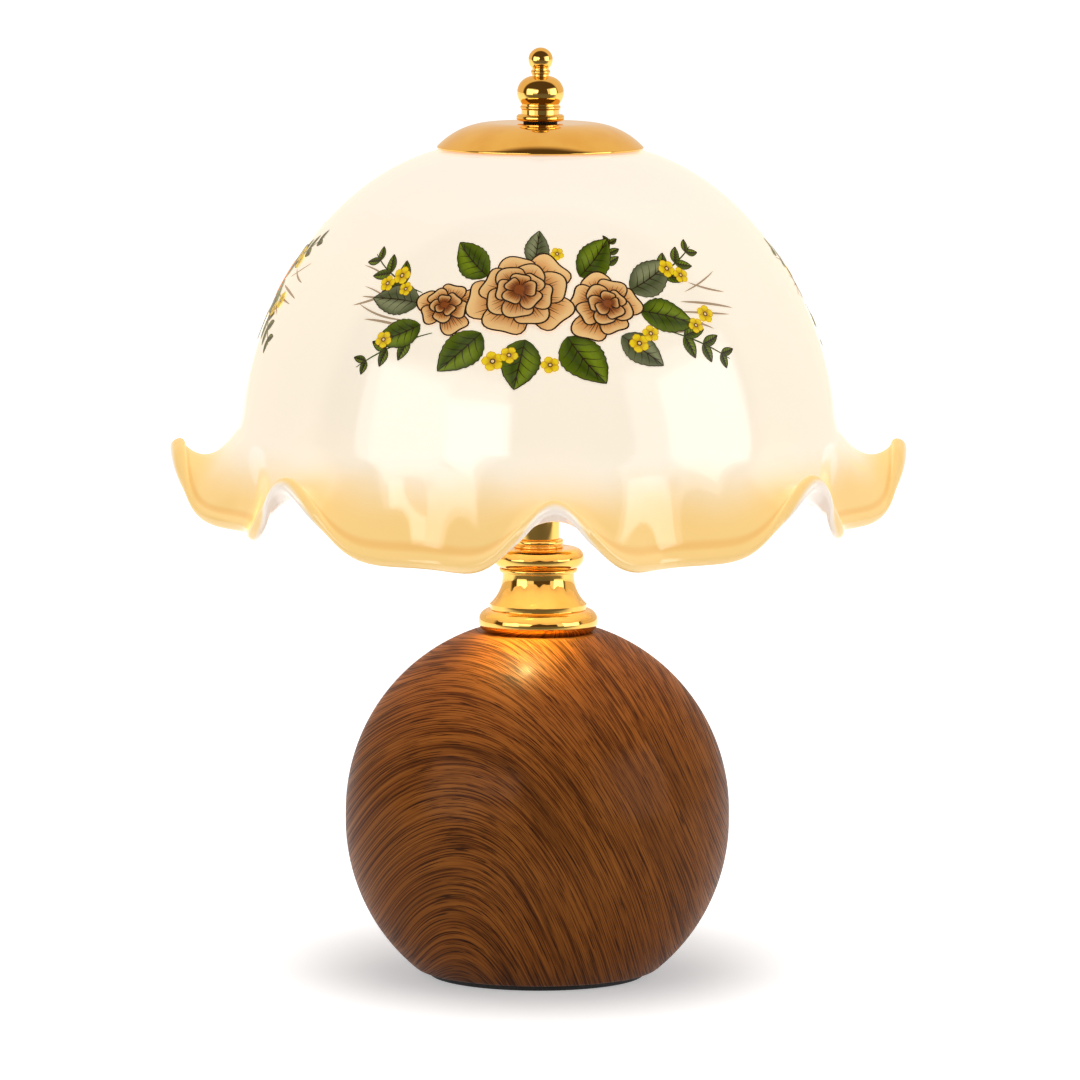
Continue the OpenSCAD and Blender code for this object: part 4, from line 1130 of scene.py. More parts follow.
# %% Shade mesh
WAIST_GLASS_R = 103.3 * mm
CROWN_R = 20 * mm
CROWN_HOLE_R = 11 * mm
DOME_H = 95.5 * mm
GLASS_WALL = 4 * mm
RUFFLES = 8
RUFFLE_TURN = math.radians(2.4)
SHADE_STEPS = 320
gasket_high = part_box("shade_gasket")[1]
crown_z = gasket_high.z + GLASS_WALL
waist_z = crown_z - DOME_H
DOME_POINTS = [
    Vector((CROWN_R, 0.0, crown_z)),
    Vector((CROWN_R + 38.5 * mm, 0.0, crown_z - 1.5 * mm)),
    Vector((WAIST_GLASS_R - 9.8 * mm, 0.0, waist_z + 58 * mm)),
    Vector((WAIST_GLASS_R, 0.0, waist_z)),
]
LOBE_END = Vector((109.5 * mm, 0.0, waist_z - 33.6 * mm))
ARCH_END = Vector((122.1 * mm, 0.0, waist_z - 9.6 * mm))
shade_values = {
    **dict(zip(DOME_NAMES, DOME_POINTS)),
    "Ruffle handle": DOME_POINTS[3] + Vector((2.5 * mm, 0.0, -10 * mm)),
    "Lobe handle": LOBE_END + Vector((-7.5 * mm, 0.0, 15.6 * mm)), "Lobe end": LOBE_END,
    "Arch handle": ARCH_END + Vector((-7 * mm, 0.0, -9.6 * mm)), "Arch end": ARCH_END,
    "Hole inset": CROWN_R - CROWN_HOLE_R, "Ruffles": RUFFLES, "Turn": RUFFLE_TURN,
    "Reach power": 2.0, "Lift power": 3.4, "Sway": 4.0 * mm, "Wall": GLASS_WALL,
    "Bead": 0.8 * mm, "Rim bulge": 0.7, "Glass": glass,
}


def shade_rows():
    """Rows of the sleeve as (crown_t, dome_t, ruffle_t, turn), down the outside and up the inside."""
    crown = [(1.0 - i / 3, 0.0, 0.0) for i in range(3)]
    dome = [(0.0, i / 30, 0.0) for i in range(31)]
    skirt = [(0.0, 1.0, i / 34) for i in range(1, 35)]
    outside = crown + dome + skirt
    rim = [(0.0, 1.0, 1.0, math.pi * i / 12) for i in range(1, 12)]
    return [(*row, 0.0) for row in outside] + rim + [(*row, math.pi) for row in reversed(outside)]


def sleeve_mesh(rows, steps):
    """A sleeve that closes on itself both ways, whose points carry the numbers of their rows."""
    points = []
    for i in range(len(rows)):
        for k in range(steps):
            a = 2 * math.pi * k / steps
            points.append((math.sin(a), -math.cos(a), 0.01 * i))
    faces = []
    for i in range(len(rows)):
        j = (i + 1) % len(rows)
        for k in range(steps):
            n = (k + 1) % steps
            faces.append((i * steps + k, j * steps + k, j * steps + n, i * steps + n))
    mesh = bpy.data.meshes.new("sleeve")
    mesh.from_pydata(points, [], faces)
    for column, name in enumerate(("crown_t", "dome_t", "ruffle_t", "turn")):
        layer = mesh.attributes.new(name, "FLOAT", "POINT")
        layer.data.foreach_set("value", [row[column] for row in rows for _ in range(steps)])
    return mesh


shade_mesh = grow(sleeve_mesh(shade_rows(), SHADE_STEPS), shade_tree, shade_values)
dress("glass_shade", shade_mesh, glass, "shade", "opal_glass", "shade")

# %% [markdown]
# ## Printed flowers
# Three sprays of flowers are printed on the dome. A print is ink, so it is drawn as ink is: flat patches
# with colours at their points, laid over each other in order, with dark drawn lines on top. Petals
# follow the golden angle, as many flowers do. Everything is drawn flat in millimetres first, and a tree
# then wraps it onto the glass.

# %% Ink helpers
import random
import numpy as np

INK_LAYER = 0.012 * mm
PRINT_SCALE = 1.08 * mm
OUTLINE_INK = shown(44, 26, 12)[:3]
ink = {"points": [], "faces": [], "colours": []}
pen = random.Random(5)


def smooth(value, low, high):
    """0 below low, 1 above high and a soft change between them."""
    t = np.clip((value - low) / (high - low), 0.0, 1.0)
    return t * t * (3 - 2 * t)


def tinted(share, first, second):
    """Colours that go from the first to the second with an array of shares."""
    return np.asarray(first) * (1 - share[..., None]) + np.asarray(second) * share[..., None]


def ink_patch(points, colours, layer):
    """Print a grid of points, in millimetres, with a colour at each."""
    rows, columns = points.shape[:2]
    start = len(ink["points"])
    for x, y in points.reshape(-1, 2):
        ink["points"].append((x * PRINT_SCALE, y * PRINT_SCALE, layer * INK_LAYER))
    ink["colours"].extend((*colour, 1.0) for colour in colours.reshape(-1, 3))
    for i in range(rows - 1):
        for j in range(columns - 1):
            corner = start + i * columns + j
            ink["faces"].append((corner, corner + columns, corner + columns + 1, corner + 1))


def ink_line(path, width, colour, layer, taper=0.35, tail=False):
    """Print a drawn line that swells in the middle, or a stroke that thins out towards its end."""
    path = np.asarray(path, float)
    ahead = np.gradient(path, axis=0)
    ahead /= np.linalg.norm(ahead, axis=1)[:, None] + 1e-9
    left = np.stack([-ahead[:, 1], ahead[:, 0]], axis=1)
    t = np.linspace(0, 1, len(path))
    swell = (1 - t) ** 0.8 if tail else np.sin(np.pi * t) ** 0.6
    half = width / 2 * (taper + (1 - taper) * swell)
    sides = np.stack([path - left * half[:, None], path + left * half[:, None]], axis=1)
    ink_patch(sides, np.broadcast_to(np.asarray(colour), sides.shape[:2] + (3,)), layer)


def grid(rows, columns):
    """Shares of a patch from root to tip, 0 to 1, and from side to side, -1 to 1."""
    return np.meshgrid(np.linspace(0, 1, rows), np.linspace(-1, 1, columns), indexing="ij")


def placed(base, heading, along, across):
    """Points from distances along a heading and to its left."""
    c, s = math.cos(heading), math.sin(heading)
    return np.stack([base[0] + along * c - across * s, base[1] + along * s + across * c], axis=-1)


print("ink helpers ready")

# %% Petals and blossoms
PETAL_DEEP = shown(140, 72, 28)[:3]
PETAL_BODY = shown(238, 158, 76)[:3]
PETAL_PALE = shown(253, 208, 140)[:3]
STROKE_INK = shown(86, 46, 20)[:3]
OUTLINE_WIDTH = 0.58
STROKE_RISE = 0.55
OUTLINE_RISE = 0.75


def petal(base, heading, length, width, tone, layer):
    """A fan-shaped petal, deep at its root and pale at the lip, with fine strokes and a drawn outline."""
    u, v = grid(9, 17)
    phase = pen.uniform(0, 6)
    opening = math.asin(min(0.95, width / 2 / length))

    def fan(along, across):
        ripple = 0.05 * np.cos(across * 5 + phase) - 0.34 * across ** 4
        reach = length * along * (1 + ripple * along)
        swing = opening * across * (1.25 - 0.25 * along)
        return placed(base, heading, reach * np.cos(swing), reach * np.sin(swing))

    points = fan(u, v)
    colours = tinted(smooth(u, 0.55, 1.0) * (1 - 0.5 * v ** 2), PETAL_BODY, PETAL_PALE)
    colours = tinted(np.clip((1 - smooth(u, 0.35, 0.95)) * 0.75 + tone, 0, 1), colours, PETAL_DEEP)
    colours = tinted(0.35 * smooth(np.abs(v), 0.6, 1.0), colours, PETAL_DEEP)
    ink_patch(points, colours, layer)
    for place in np.linspace(-0.78, 0.78, 9):
        along = np.linspace(0.30, pen.uniform(0.72, 0.95), 6)
        stroke = fan(along, np.full(6, place + pen.uniform(-0.06, 0.06)))
        ink_line(stroke, 0.040 * length, STROKE_INK, layer + STROKE_RISE, 0.0, True)
    edge = np.concatenate([points[3:-1, 0], points[-1], points[-2:2:-1, -1]])
    ink_line(edge, OUTLINE_WIDTH, OUTLINE_INK, layer + OUTLINE_RISE, 0.25)


def blossom(middle, size, petals, squash, turn, lean, layer):
    """A full flower: petals at the golden angle, the largest outside, round a heart that leans."""
    golden = math.pi * (3 - math.sqrt(5))
    start = len(ink["points"])
    for k in range(petals):
        share = k / (petals - 1)
        length = size * (1.0 - 0.72 * share ** 0.9) * pen.uniform(0.92, 1.08)
        base = (lean[0] * size * share, lean[1] * size * share)
        petal(base, turn + k * golden, length, length * (1.15 + 0.35 * share), 0.30 * share, layer + k)
    for i in range(start, len(ink["points"])):
        x, y, z = ink["points"][i]
        ink["points"][i] = (x + middle[0] * PRINT_SCALE, y * squash + middle[1] * PRINT_SCALE, z)
    return layer + petals + 1


print("blossoms ready")

# %% Leaves
LEAF_DARK = shown(56, 72, 2)[:3]
LEAF_LIGHT = shown(122, 140, 20)[:3]
LEAF_GREY = (shown(78, 84, 50)[:3], shown(144, 146, 104)[:3])
LEAF_GREEN = (LEAF_DARK, LEAF_LIGHT)


def leaf(base, heading, length, width, greens, layer):
    """A pointed leaf with a toothed edge, a midrib and side veins."""
    u, v = grid(28, 7)
    teeth = 1 + 0.09 * ((u * 9) % 1.0) * np.abs(v)
    half = width / 2 * np.sin(np.pi * u ** 0.8) ** 0.85 * teeth
    bend = pen.uniform(-0.14, 0.14) * length
    points = placed(base, heading, length * u, half * v + bend * u ** 2)
    gleam = smooth(np.abs(v - 0.45), 0.6, 0.0) * smooth(u, 0.02, 0.4) + 0.4 * smooth(v, -0.3, -0.9)
    ink_patch(points, tinted(np.clip(gleam, 0, 1), *greens), layer)
    ink_line(points[:, 3], 0.38, OUTLINE_INK, layer + 0.6)
    for k in range(4, 23, 4):
        for side in (0, 6):
            root = points[k, 3]
            tip = points[min(k + 5, 27), side] * 0.88 + root * 0.12
            t = np.linspace(0, 1, 7)[:, None]
            bow = (points[min(k + 5, 27), 3] - root) * 0.5 * t * (1 - t)
            ink_line(root + (tip - root) * t + bow, 0.32, OUTLINE_INK, layer + 0.5, 0.1, True)
    edge = np.concatenate([points[:, 0], points[::-1, -1]])
    ink_line(edge, 0.28, OUTLINE_INK, layer + 0.7)


print("leaves ready")

# %% Small flowers and sprigs
YELLOW = shown(250, 214, 26)[:3]
YELLOW_DEEP = shown(196, 146, 12)[:3]


def floret(middle, size, turn, layer):
    """A small yellow flower with five round petals and a dark eye."""
    for k in range(5):
        heading = turn + k * 2 * math.pi / 5
        u, v = grid(7, 7)
        half = 0.42 * size * np.sin(np.pi * u ** 1.4) ** 0.5
        points = placed(middle, heading, size * u, half * v)
        ink_patch(points, tinted(1 - smooth(u, 0.1, 0.7), YELLOW, YELLOW_DEEP), layer)
        ink_line(np.concatenate([points[1:, 0], points[-2:0:-1, -1]]), 0.16, YELLOW_DEEP, layer + 0.4)
    for radius, colour, rise in ((0.26, OUTLINE_INK, 0.6), (0.15, PETAL_PALE, 0.8)):
        angles = np.linspace(0, 2 * np.pi, 13)
        ring = np.stack([np.cos(angles), np.sin(angles)], axis=-1) * radius * size + np.asarray(middle)
        disc = np.stack([np.broadcast_to(np.asarray(middle, float), ring.shape), ring], axis=0)
        colours = np.broadcast_to(np.asarray(colour), (13, 2, 3))
        ink_patch(disc.transpose(1, 0, 2)[::-1], colours, layer + rise)


def sprig(start, heading, length, curl, leaf_size, layer):
    """A curved stem with a pair of small leaves at each joint."""
    t = np.linspace(0, 1, 15)
    bent = heading + curl * t
    step = length / 14
    path = np.asarray(start) + np.cumsum(np.stack([np.cos(bent), np.sin(bent)], axis=1) * step, axis=0)
    ink_line(path, 0.5, LEAF_DARK, layer, 0.5)
    for k in (4, 8, 12):
        for side in (-1, 1):
            size = leaf_size * (1.1 - k / 24)
            leaf(path[k], bent[k] + side * 0.75, size, 0.5 * size, LEAF_GREEN, layer + 1)


print("small flowers and sprigs ready")

# %% [markdown]
# ## Laying out the spray
# Faint grass lies at the bottom, then stems and leaves, then the small yellow flowers, and the big
# blossoms lie on top. The spray is about 140 mm wide and 58 mm high: a large blossom left of the middle,
# a smaller one at its right, a small one at the far left, and sprigs that run out to both ends.

# %% Spray
GRASS = shown(178, 152, 124)[:3]


def draw_grass():
    """Faint strokes that fan out at both ends."""
    for side in (-1, 1):
        for k in range(6):
            root = np.array((side * (38 + 2.5 * k), -4 + 3.2 * k - 6))
            rise = pen.uniform(-6, 8)
            tip = root + np.array((side * pen.uniform(13, 20), rise))
            middle = (root + tip) / 2 + np.array((0.0, pen.uniform(-2.5, 2.5)))
            t = np.linspace(0, 1, 11)[:, None]
            path = (1 - t) ** 2 * root + 2 * t * (1 - t) * middle + t ** 2 * tip
            ink_line(path, pen.uniform(0.5, 0.9), GRASS, 0, 0.1)


def draw_leaves():
    """Sprigs at both ends and broad leaves round the blossoms."""
    sprig((-36, 2), math.radians(163), 27, -0.35, 9.0, 1)
    sprig((33, 6), math.radians(20), 26, 0.25, 8.5, 1)
    sprig((-30, -10), math.radians(196), 26, 0.40, 7.5, 1)
    sprig((36, -9), math.radians(-16), 23, -0.35, 8.0, 1)
    sprig((20, 9), math.radians(58), 14, 0.30, 6.0, 1)
    broad = [
        ((-17, 9), 142, 17, 10.5, LEAF_GREEN), ((-2, 13), 78, 13, 8.5, LEAF_GREY),
        ((13, 9), 44, 18, 11, LEAF_GREEN), ((29, 4), 24, 19, 11, LEAF_GREY),
        ((31, -3), -9, 18, 10.5, LEAF_GREEN), ((-38, -1), 170, 17, 10, LEAF_GREY),
        ((-36, -8), 212, 15, 9, LEAF_GREEN), ((-17, -10), 230, 17, 11, LEAF_GREEN),
        ((-4, -12), 258, 16, 11, LEAF_GREEN), ((8, -11), 298, 18, 12, LEAF_GREEN),
        ((24, -11), 322, 15, 9, LEAF_GREY),
    ]
    for k, (base, heading, length, width, greens) in enumerate(broad):
        leaf(base, math.radians(heading), length, width, greens, 3 + k)


def draw_florets():
    """Clusters of small yellow flowers."""
    clusters = [
        ((-13, -19), 3.2), ((-8.5, -17), 2.7), ((3, -20), 2.7), ((29, -13.5), 3.1), ((33, -10.5), 2.7),
        ((-47, 8), 3.2), ((-51.5, 5), 2.8), ((-44, 3.5), 2.4), ((44, 11), 3.2), ((48.5, 8.5), 2.8),
        ((53, -5), 3.0), ((48.5, -8.5), 2.6), ((-47, -13.5), 2.8), ((6, 17), 2.4),
    ]
    for k, (middle, size) in enumerate(clusters):
        floret(middle, size, pen.uniform(0, 2), 16 + k)


draw_grass()
draw_leaves()
draw_florets()
blossom((-28.5, -2.5), 11.0, 13, 0.88, 0.4, (-0.10, 0.12), 31)
next_layer = blossom((19.5, -2.0), 13.5, 16, 0.90, 1.7, (0.12, 0.14), 31)
next_layer = blossom((-5.0, 2.0), 17.5, 20, 0.88, 0.9, (-0.08, 0.16), next_layer)
spray_size = np.ptp(np.asarray(ink["points"])[:, :2], axis=0) / mm
print("spray:", len(ink["faces"]), "patches,", spray_size.round(1), "mm,", next_layer, "layers")

# %% [markdown]
# ## Wrapping the print onto the glass
# The tree samples the dome's own curve by length: a point's height on the flat drawing says how far down
# the curve it goes, its sideways place says how far round, and its layer how far it lies off the glass.
# Then it sets three copies round the shade, two of them turned a little further than a third.

# %% Wrap tree
PRINT_INPUTS = {
    **dict.fromkeys(DOME_NAMES, "Vector"),
    "Middle length": "Float", "Middle radius": "Float", "Lift": "Float", "Sprays": "Int",
    "Apart": "Float", "Ink": "Material",
}


def wrap_tree():
    """Lays a flat drawing on the dome and repeats it round the axis."""
    tree, given, end = new_tree("print_on_glass", PRINT_INPUTS)
    flat = split(tree, put(tree, "GeometryNodeInputPosition").outputs[0])
    ends = {"Resolution": 200, "Start": given["Crown"], "Start Handle": given["Crown handle"],
            "End Handle": given["Waist handle"], "End": given["Waist"]}
    curve = put(tree, "GeometryNodeCurvePrimitiveBezierSegment", ends, mode="POSITION").outputs[0]
    length = reckon(tree, "SUBTRACT", given["Middle length"], flat["Y"])
    sample = put(tree, "GeometryNodeSampleCurve", {"Curves": curve, "Length": length}, mode="LENGTH").outputs
    spot = split(tree, sample["Position"])
    ahead = split(tree, sample["Tangent"])
    off = reckon(tree, "ADD", given["Lift"], flat["Z"])
    radius = reckon(tree, "SUBTRACT", spot["X"], reckon(tree, "MULTIPLY", ahead["Z"], off))
    height = reckon(tree, "ADD", spot["Z"], reckon(tree, "MULTIPLY", ahead["X"], off))
    angle = reckon(tree, "DIVIDE", flat["X"], given["Middle radius"])
    wrapped = set_round(tree, given["Geometry"], radius, angle, height)
    spots = put(tree, "GeometryNodePoints", {"Count": given["Sprays"]}).outputs[0]
    index = put(tree, "GeometryNodeInputIndex").outputs[0]
    share = reckon(tree, "DIVIDE", index, given["Sprays"])
    apart = reckon(tree, "MULTIPLY", reckon(tree, "MINIMUM", index, 1.0), given["Apart"])
    around = reckon(tree, "MULTIPLY_ADD", share, 2 * math.pi, apart)
    close_tree(tree, copies(tree, spots, wrapped, 0.0, around), given["Ink"], end)
    return tree


print("wrap tree ready")

# %% Ink finish
# Painted glow: the ink shines with the bulb's light behind the glass, as the glass does.
PRINT_GLOW = 0.28


def print_finish():
    """Ink with a faint sheen and a painted glow, as of the bulb behind the glass; each point carries its
    colour.
    """
    made, tree, shader = new_finish("printed_ink")
    colour = put(tree, "ShaderNodeAttribute", attribute_name="ink_colour").outputs["Color"]
    screen = noise(tree, own_place(tree), 260.0, 3.0)
    inked = blend_colours(tree, ramp(tree, screen, 0.35, 0.75, 0.0, 0.015), colour, CREAM)
    feed(tree, shader, {
        "Base Color": inked,
        "Emission Color": inked,
        "Emission Strength": PRINT_GLOW,
        "Roughness": ramp(tree, screen, 0.3, 0.7, 0.22, 0.32),
        "Specular IOR Level": 0.25,
    })
    return made


printed_ink = print_finish()
print("ink made")

# %% Printed sprays
SPRAY_HEIGHT = 0.2382
SPRAYS = 3


def length_to_height(points, height, steps=400):
    """Length along the dome's curve down to a height, and the radius there."""
    length = 0.0
    before = points[0]
    for i in range(1, steps + 1):
        t = i / steps
        weights = ((1 - t) ** 3, 3 * t * (1 - t) ** 2, 3 * t * t * (1 - t), t ** 3)
        here = sum((w * p for w, p in zip(weights, points)), Vector())
        length += (here - before).length
        before = here
        if here.z <= height:
            break
    return length, before.x


spray_length, spray_radius = length_to_height(DOME_POINTS, SPRAY_HEIGHT)
print_values = {
    **dict(zip(DOME_NAMES, DOME_POINTS)), "Middle length": spray_length, "Middle radius": spray_radius,
    "Lift": 0.05 * mm, "Sprays": SPRAYS, "Apart": math.radians(6), "Ink": printed_ink,
}
spray_mesh = bpy.data.meshes.new("spray")
spray_mesh.from_pydata(ink["points"], [], ink["faces"])
ink_layer = spray_mesh.attributes.new("ink_colour", "FLOAT_COLOR", "POINT")
ink_layer.data.foreach_set("color", [part for colour in ink["colours"] for part in colour])
printed_mesh = grow(spray_mesh, wrap_tree(), print_values)
dress("printed_flowers", printed_mesh, printed_ink, "shade", "opal_glass")

# %% [markdown]
# ## The shade carrier
# Under the glass a strip of brass is bent into an arch over the bulb and screwed to the ears of a
# saddle. On top of it sit the seat plate, a soft gasket and the threaded stud for the finial. They show
# when the shade is lifted off and from below. The strips are swept along their bent middle line, with
# eased edges.

# %% Bent strips
STRIP_T = 2 * mm
STRIP_EDGE = 0.45 * mm


def strip_section(width, thickness):
    """A rectangle with rounded corners as (across the sheet, along Y) points."""
    half_t, half_w = thickness / 2 - STRIP_EDGE, width / 2 - STRIP_EDGE
    section = []
    for quarter, (a, b) in enumerate(((1, 1), (-1, 1), (-1, -1), (1, -1))):
        for k in range(4):
            angle = math.radians(90 * quarter + 30 * k)
            across = a * half_t + STRIP_EDGE * math.cos(angle)
            section.append((across, b * half_w + STRIP_EDGE * math.sin(angle)))
    return section


def bent_strip(path, width, thickness):
    """Sweep a strip along a path of (x, z) points."""
    builder = bmesh.new()
    section = strip_section(width, thickness)
    rings = []
    for i, (x, z) in enumerate(path):
        after = Vector(path[min(i + 1, len(path) - 1)])
        before = Vector(path[max(i - 1, 0)])
        ahead = (after - before).normalized()
        ring = [builder.verts.new((x - ahead.y * off, y, z + ahead.x * off)) for off, y in section]
        rings.append(ring)
    for first, second in zip(rings, rings[1:]):
        for k in range(len(section)):
            n = (k + 1) % len(section)
            builder.faces.new((first[k], first[n], second[n], second[k]))
    builder.faces.new(rings[0])
    builder.faces.new(rings[-1])
    bmesh.ops.recalc_face_normals(builder, faces=builder.faces)
    return mesh_from(builder, "strip")


print("strip helpers ready")

# %% Arch and saddle
arch_low, arch_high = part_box("harp_arch")
arch_bend = 13 * mm
leg_x = arch_high.x - STRIP_T / 2
arch_top = arch_high.z - STRIP_T / 2
bend_x = leg_x - arch_bend
bend_z = arch_top - arch_bend
arch_path = [
    (leg_x, arch_low.z),
    *arc((bend_x, bend_z), arch_bend, 0.0, 90.0, 14),
    *arc((-bend_x, bend_z), arch_bend, 90.0, 180.0, 14),
    (-leg_x, arch_low.z),
]
strip_w = arch_high.y - arch_low.y
arch_mesh = bent_strip(arch_path, strip_w, STRIP_T)
dress("carrier_arch", arch_mesh, carrier_brass, "stand", "carrier_brass", "harp_arch")

saddle_low, saddle_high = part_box("harp_saddle")
saddle_bend = 2 * mm
ear_x = saddle_high.x - STRIP_T / 2
saddle_z = saddle_low.z + STRIP_T / 2
saddle_path = [
    (ear_x, saddle_high.z),
    *arc((ear_x - saddle_bend, saddle_z + saddle_bend), saddle_bend, 0.0, -90.0, 8),
    *arc((saddle_bend - ear_x, saddle_z + saddle_bend), saddle_bend, -90.0, -180.0, 8),
    (-ear_x, saddle_high.z),
]
saddle_mesh = bent_strip(saddle_path, strip_w, STRIP_T)
dress("carrier_saddle", saddle_mesh, carrier_brass, "stand", "carrier_brass", "harp_saddle")

# %% [markdown]
# ## Seat, gasket, bush and stud
# The glass rests on a soft ring on the seat plate, and a flanged bush keeps it centred. The stud's
# thread is made by the lathe's shape rule: the radius falls and rises with height and angle together,
# which is what a helix is.

# %% Seat and gasket
GASKET_HOLE_R = 6.37 * mm
seat_mesh = plate_ring("shade_seat", STUD_HOLE_R, 0.4 * mm)
dress("seat_plate", seat_mesh, carrier_brass, "stand", "carrier_brass", "shade_seat")
gasket_mesh = plate_ring("shade_gasket", GASKET_HOLE_R, 0.5 * mm)
dress("glass_gasket", gasket_mesh, silicone, "shade_ring", "silicone", "shade_gasket")

# %% Stud
STUD_R = 3 * mm
STUD_HEAD_R = 5 * mm
STUD_HEAD_T = 1.5 * mm
STUD_PITCH = 1.0 * mm
STUD_THREAD_DEPTH = 0.45 * mm
stud_low, stud_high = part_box("shade_stud")
thread_start = stud_low.z + STUD_HEAD_T + 4 * mm
thread_end = stud_high.z - 0.8 * mm
thread_rows = round((thread_end - thread_start) / STUD_PITCH * 10)


def stud_thread(angle, radius, height):
    """A helical groove in the stud's shank."""
    if not thread_start <= height <= thread_end:
        return radius, height
    phase = ((height - thread_start) / STUD_PITCH - angle / (2 * math.pi)) % 1.0
    return radius - STUD_THREAD_DEPTH * abs(2 * phase - 1), height


head_top = stud_low.z + STUD_HEAD_T
stud_head = eased(
    [
        (0.0, stud_low.z, 0),
        (STUD_HEAD_R, stud_low.z, 0.4 * mm),
        (STUD_HEAD_R, head_top, 0.2 * mm),
        (STUD_R, head_top, 0),
    ]
)
stud_outline = [
    *stud_head,
    (STUD_R, thread_start - 0.05 * mm),
    *[(STUD_R, thread_start + (thread_end - thread_start) * i / thread_rows) for i in range(thread_rows + 1)],
    (STUD_R - STUD_THREAD_DEPTH, thread_end + 0.3 * mm),
    (STUD_R - 0.9 * mm, stud_high.z),
    (0.0, stud_high.z),
]
stud_mesh = lathe_mesh(stud_outline, steps=48, shape=stud_thread)
dress("finial_stud", stud_mesh, carrier_brass, "stand", "carrier_brass", "shade_stud")

# %% Crown bush
collar_low, collar_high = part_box("shade_bush")
BUSH_FLANGE_H = 1.5 * mm
CROWN_SLEEVE_R = 10.6 * mm
NUT_ROOM_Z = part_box("stud_nut")[0].z + 4 * mm
crown_bush = [
    (GASKET_HOLE_R, collar_low.z, 0),
    (CROWN_SLEEVE_R, collar_low.z, 0.3 * mm),
    (CROWN_SLEEVE_R, collar_high.z - BUSH_FLANGE_H, 0),
    (collar_high.x, collar_high.z - BUSH_FLANGE_H, 0.2 * mm),
    (collar_high.x, collar_high.z, 0.5 * mm),
    (STUD_HOLE_R, collar_high.z, 0.2 * mm),
    (STUD_HOLE_R, NUT_ROOM_Z, 0),
    (GASKET_HOLE_R, NUT_ROOM_Z, 0),
]
bush_piece = lathe_mesh(eased(crown_bush), loop=True, steps=120)
dress("crown_bush", bush_piece, carrier_brass, "shade", "carrier_brass", "shade_bush")

# %% [markdown]
# ## Nuts and screws
# A hexagon nut is a lathe outline whose radius follows a hexagon, with the usual chamfer that cuts its
# corners round. The two screws and nuts in the carrier's ears are alike, so one is made along +Z and a
# tree sets the copies round the axis.

# %% Nuts
def hex_radius(angle, across):
    """Distance from the axis to a hexagon's edge at an angle."""
    sixth = math.pi / 3
    return across / 2 / math.cos((angle + sixth / 2) % sixth - sixth / 2)


def nut_mesh(low, height, across, hole, turn=0.0):
    """A chamfered hexagon nut."""
    outer = across / 2 / math.cos(math.pi / 6)
    crown = 0.96 * across / 2
    slope = math.tan(math.radians(30))

    def chamfered(angle, radius, z):
        if radius < outer - 1e-9:
            return radius, z
        edge = hex_radius(angle - turn, across)
        shy = max(0.0, edge - crown) * slope
        return edge, (z + shy if z < low + height / 2 else z - shy)

    top = low + height
    outline = [(hole, low), (crown, low), (outer, low), (outer, top), (crown, top), (hole, top)]
    return lathe_mesh(outline, loop=True, steps=72, shape=chamfered)


ROD_THREAD_R = 5.05 * mm
STUD_THREAD_R = 3.05 * mm
for nut_name, node, across, hole in (
    ("stack_nut", "upper_nut", 14 * mm, ROD_THREAD_R),
    ("seat_nut", "stud_nut", 10 * mm, STUD_THREAD_R),
):
    nut_low, nut_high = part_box(node)
    turn = math.radians(30) if nut_high.x - nut_low.x > nut_high.y - nut_low.y else 0.0
    made_nut = nut_mesh(nut_low.z, nut_high.z - nut_low.z, across, hole, turn)
    dress(nut_name, made_nut, carrier_brass, "stand", "carrier_brass", node)

# %% Screws in the ears
EAR_INPUTS = {"Count": "Int", "Distance": "Float", "Height": "Float", "Metal": "Material"}


def ear_tree():
    """Sets copies of a fastener, made along +Z, so that they point out from the axis at a height."""
    tree, given, end = new_tree("ear_fasteners", EAR_INPUTS)
    index = put(tree, "GeometryNodeInputIndex").outputs[0]
    share = reckon(tree, "DIVIDE", index, given["Count"])
    angle = reckon(tree, "MULTIPLY", share, 2 * math.pi)
    x = reckon(tree, "MULTIPLY", reckon(tree, "COSINE", angle), given["Distance"])
    y = reckon(tree, "MULTIPLY", reckon(tree, "SINE", angle), given["Distance"])
    place = join(tree, x, y, given["Height"])
    spots = put(tree, "GeometryNodePoints", {"Count": given["Count"], "Position": place}).outputs[0]
    close_tree(tree, copies(tree, spots, given["Geometry"], math.pi / 2, angle), given["Metal"], end)
    return tree


EAR_SCREW_R = 2 * mm
EAR_HEAD_R = 3.5 * mm
EAR_HEAD_T = 2.4 * mm
EAR_SHANK = 6.4 * mm
screw_low, screw_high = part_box("harp_screws")
ear_height = (screw_low.z + screw_high.z) / 2
screw_outline = eased(
    [
        (0.0, -EAR_SHANK, 0),
        (EAR_SCREW_R, -EAR_SHANK, 0.4 * mm),
        (EAR_SCREW_R, 0.0, 0),
        (EAR_HEAD_R, 0.0, 0.2 * mm),
        (EAR_HEAD_R, EAR_HEAD_T, 1.1 * mm),
        (0.0, EAR_HEAD_T, 0),
    ]
)
slot_builder = bmesh.new()
slot_sides = Matrix.Diagonal((0.8 * mm, 10 * mm, 2.2 * mm, 1.0))
slot_box = Matrix.Translation((0.0, 0.0, EAR_HEAD_T)) @ slot_sides
bmesh.ops.create_cube(slot_builder, size=1.0, matrix=slot_box)
slot_tool = add_object("slot_tool", mesh_from(slot_builder, "slot_tool"))
screw_mesh = cut_away(lathe_mesh(screw_outline, steps=48), [slot_tool])
fasteners = ear_tree()
screw_seat = screw_high.x - EAR_HEAD_T
screw_values = {"Count": 2, "Distance": screw_seat, "Height": ear_height, "Metal": steel}
dress("ear_screws", grow(screw_mesh, fasteners, screw_values), steel, "stand", "steel", "harp_screws")
nuts_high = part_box("harp_nuts")[1]
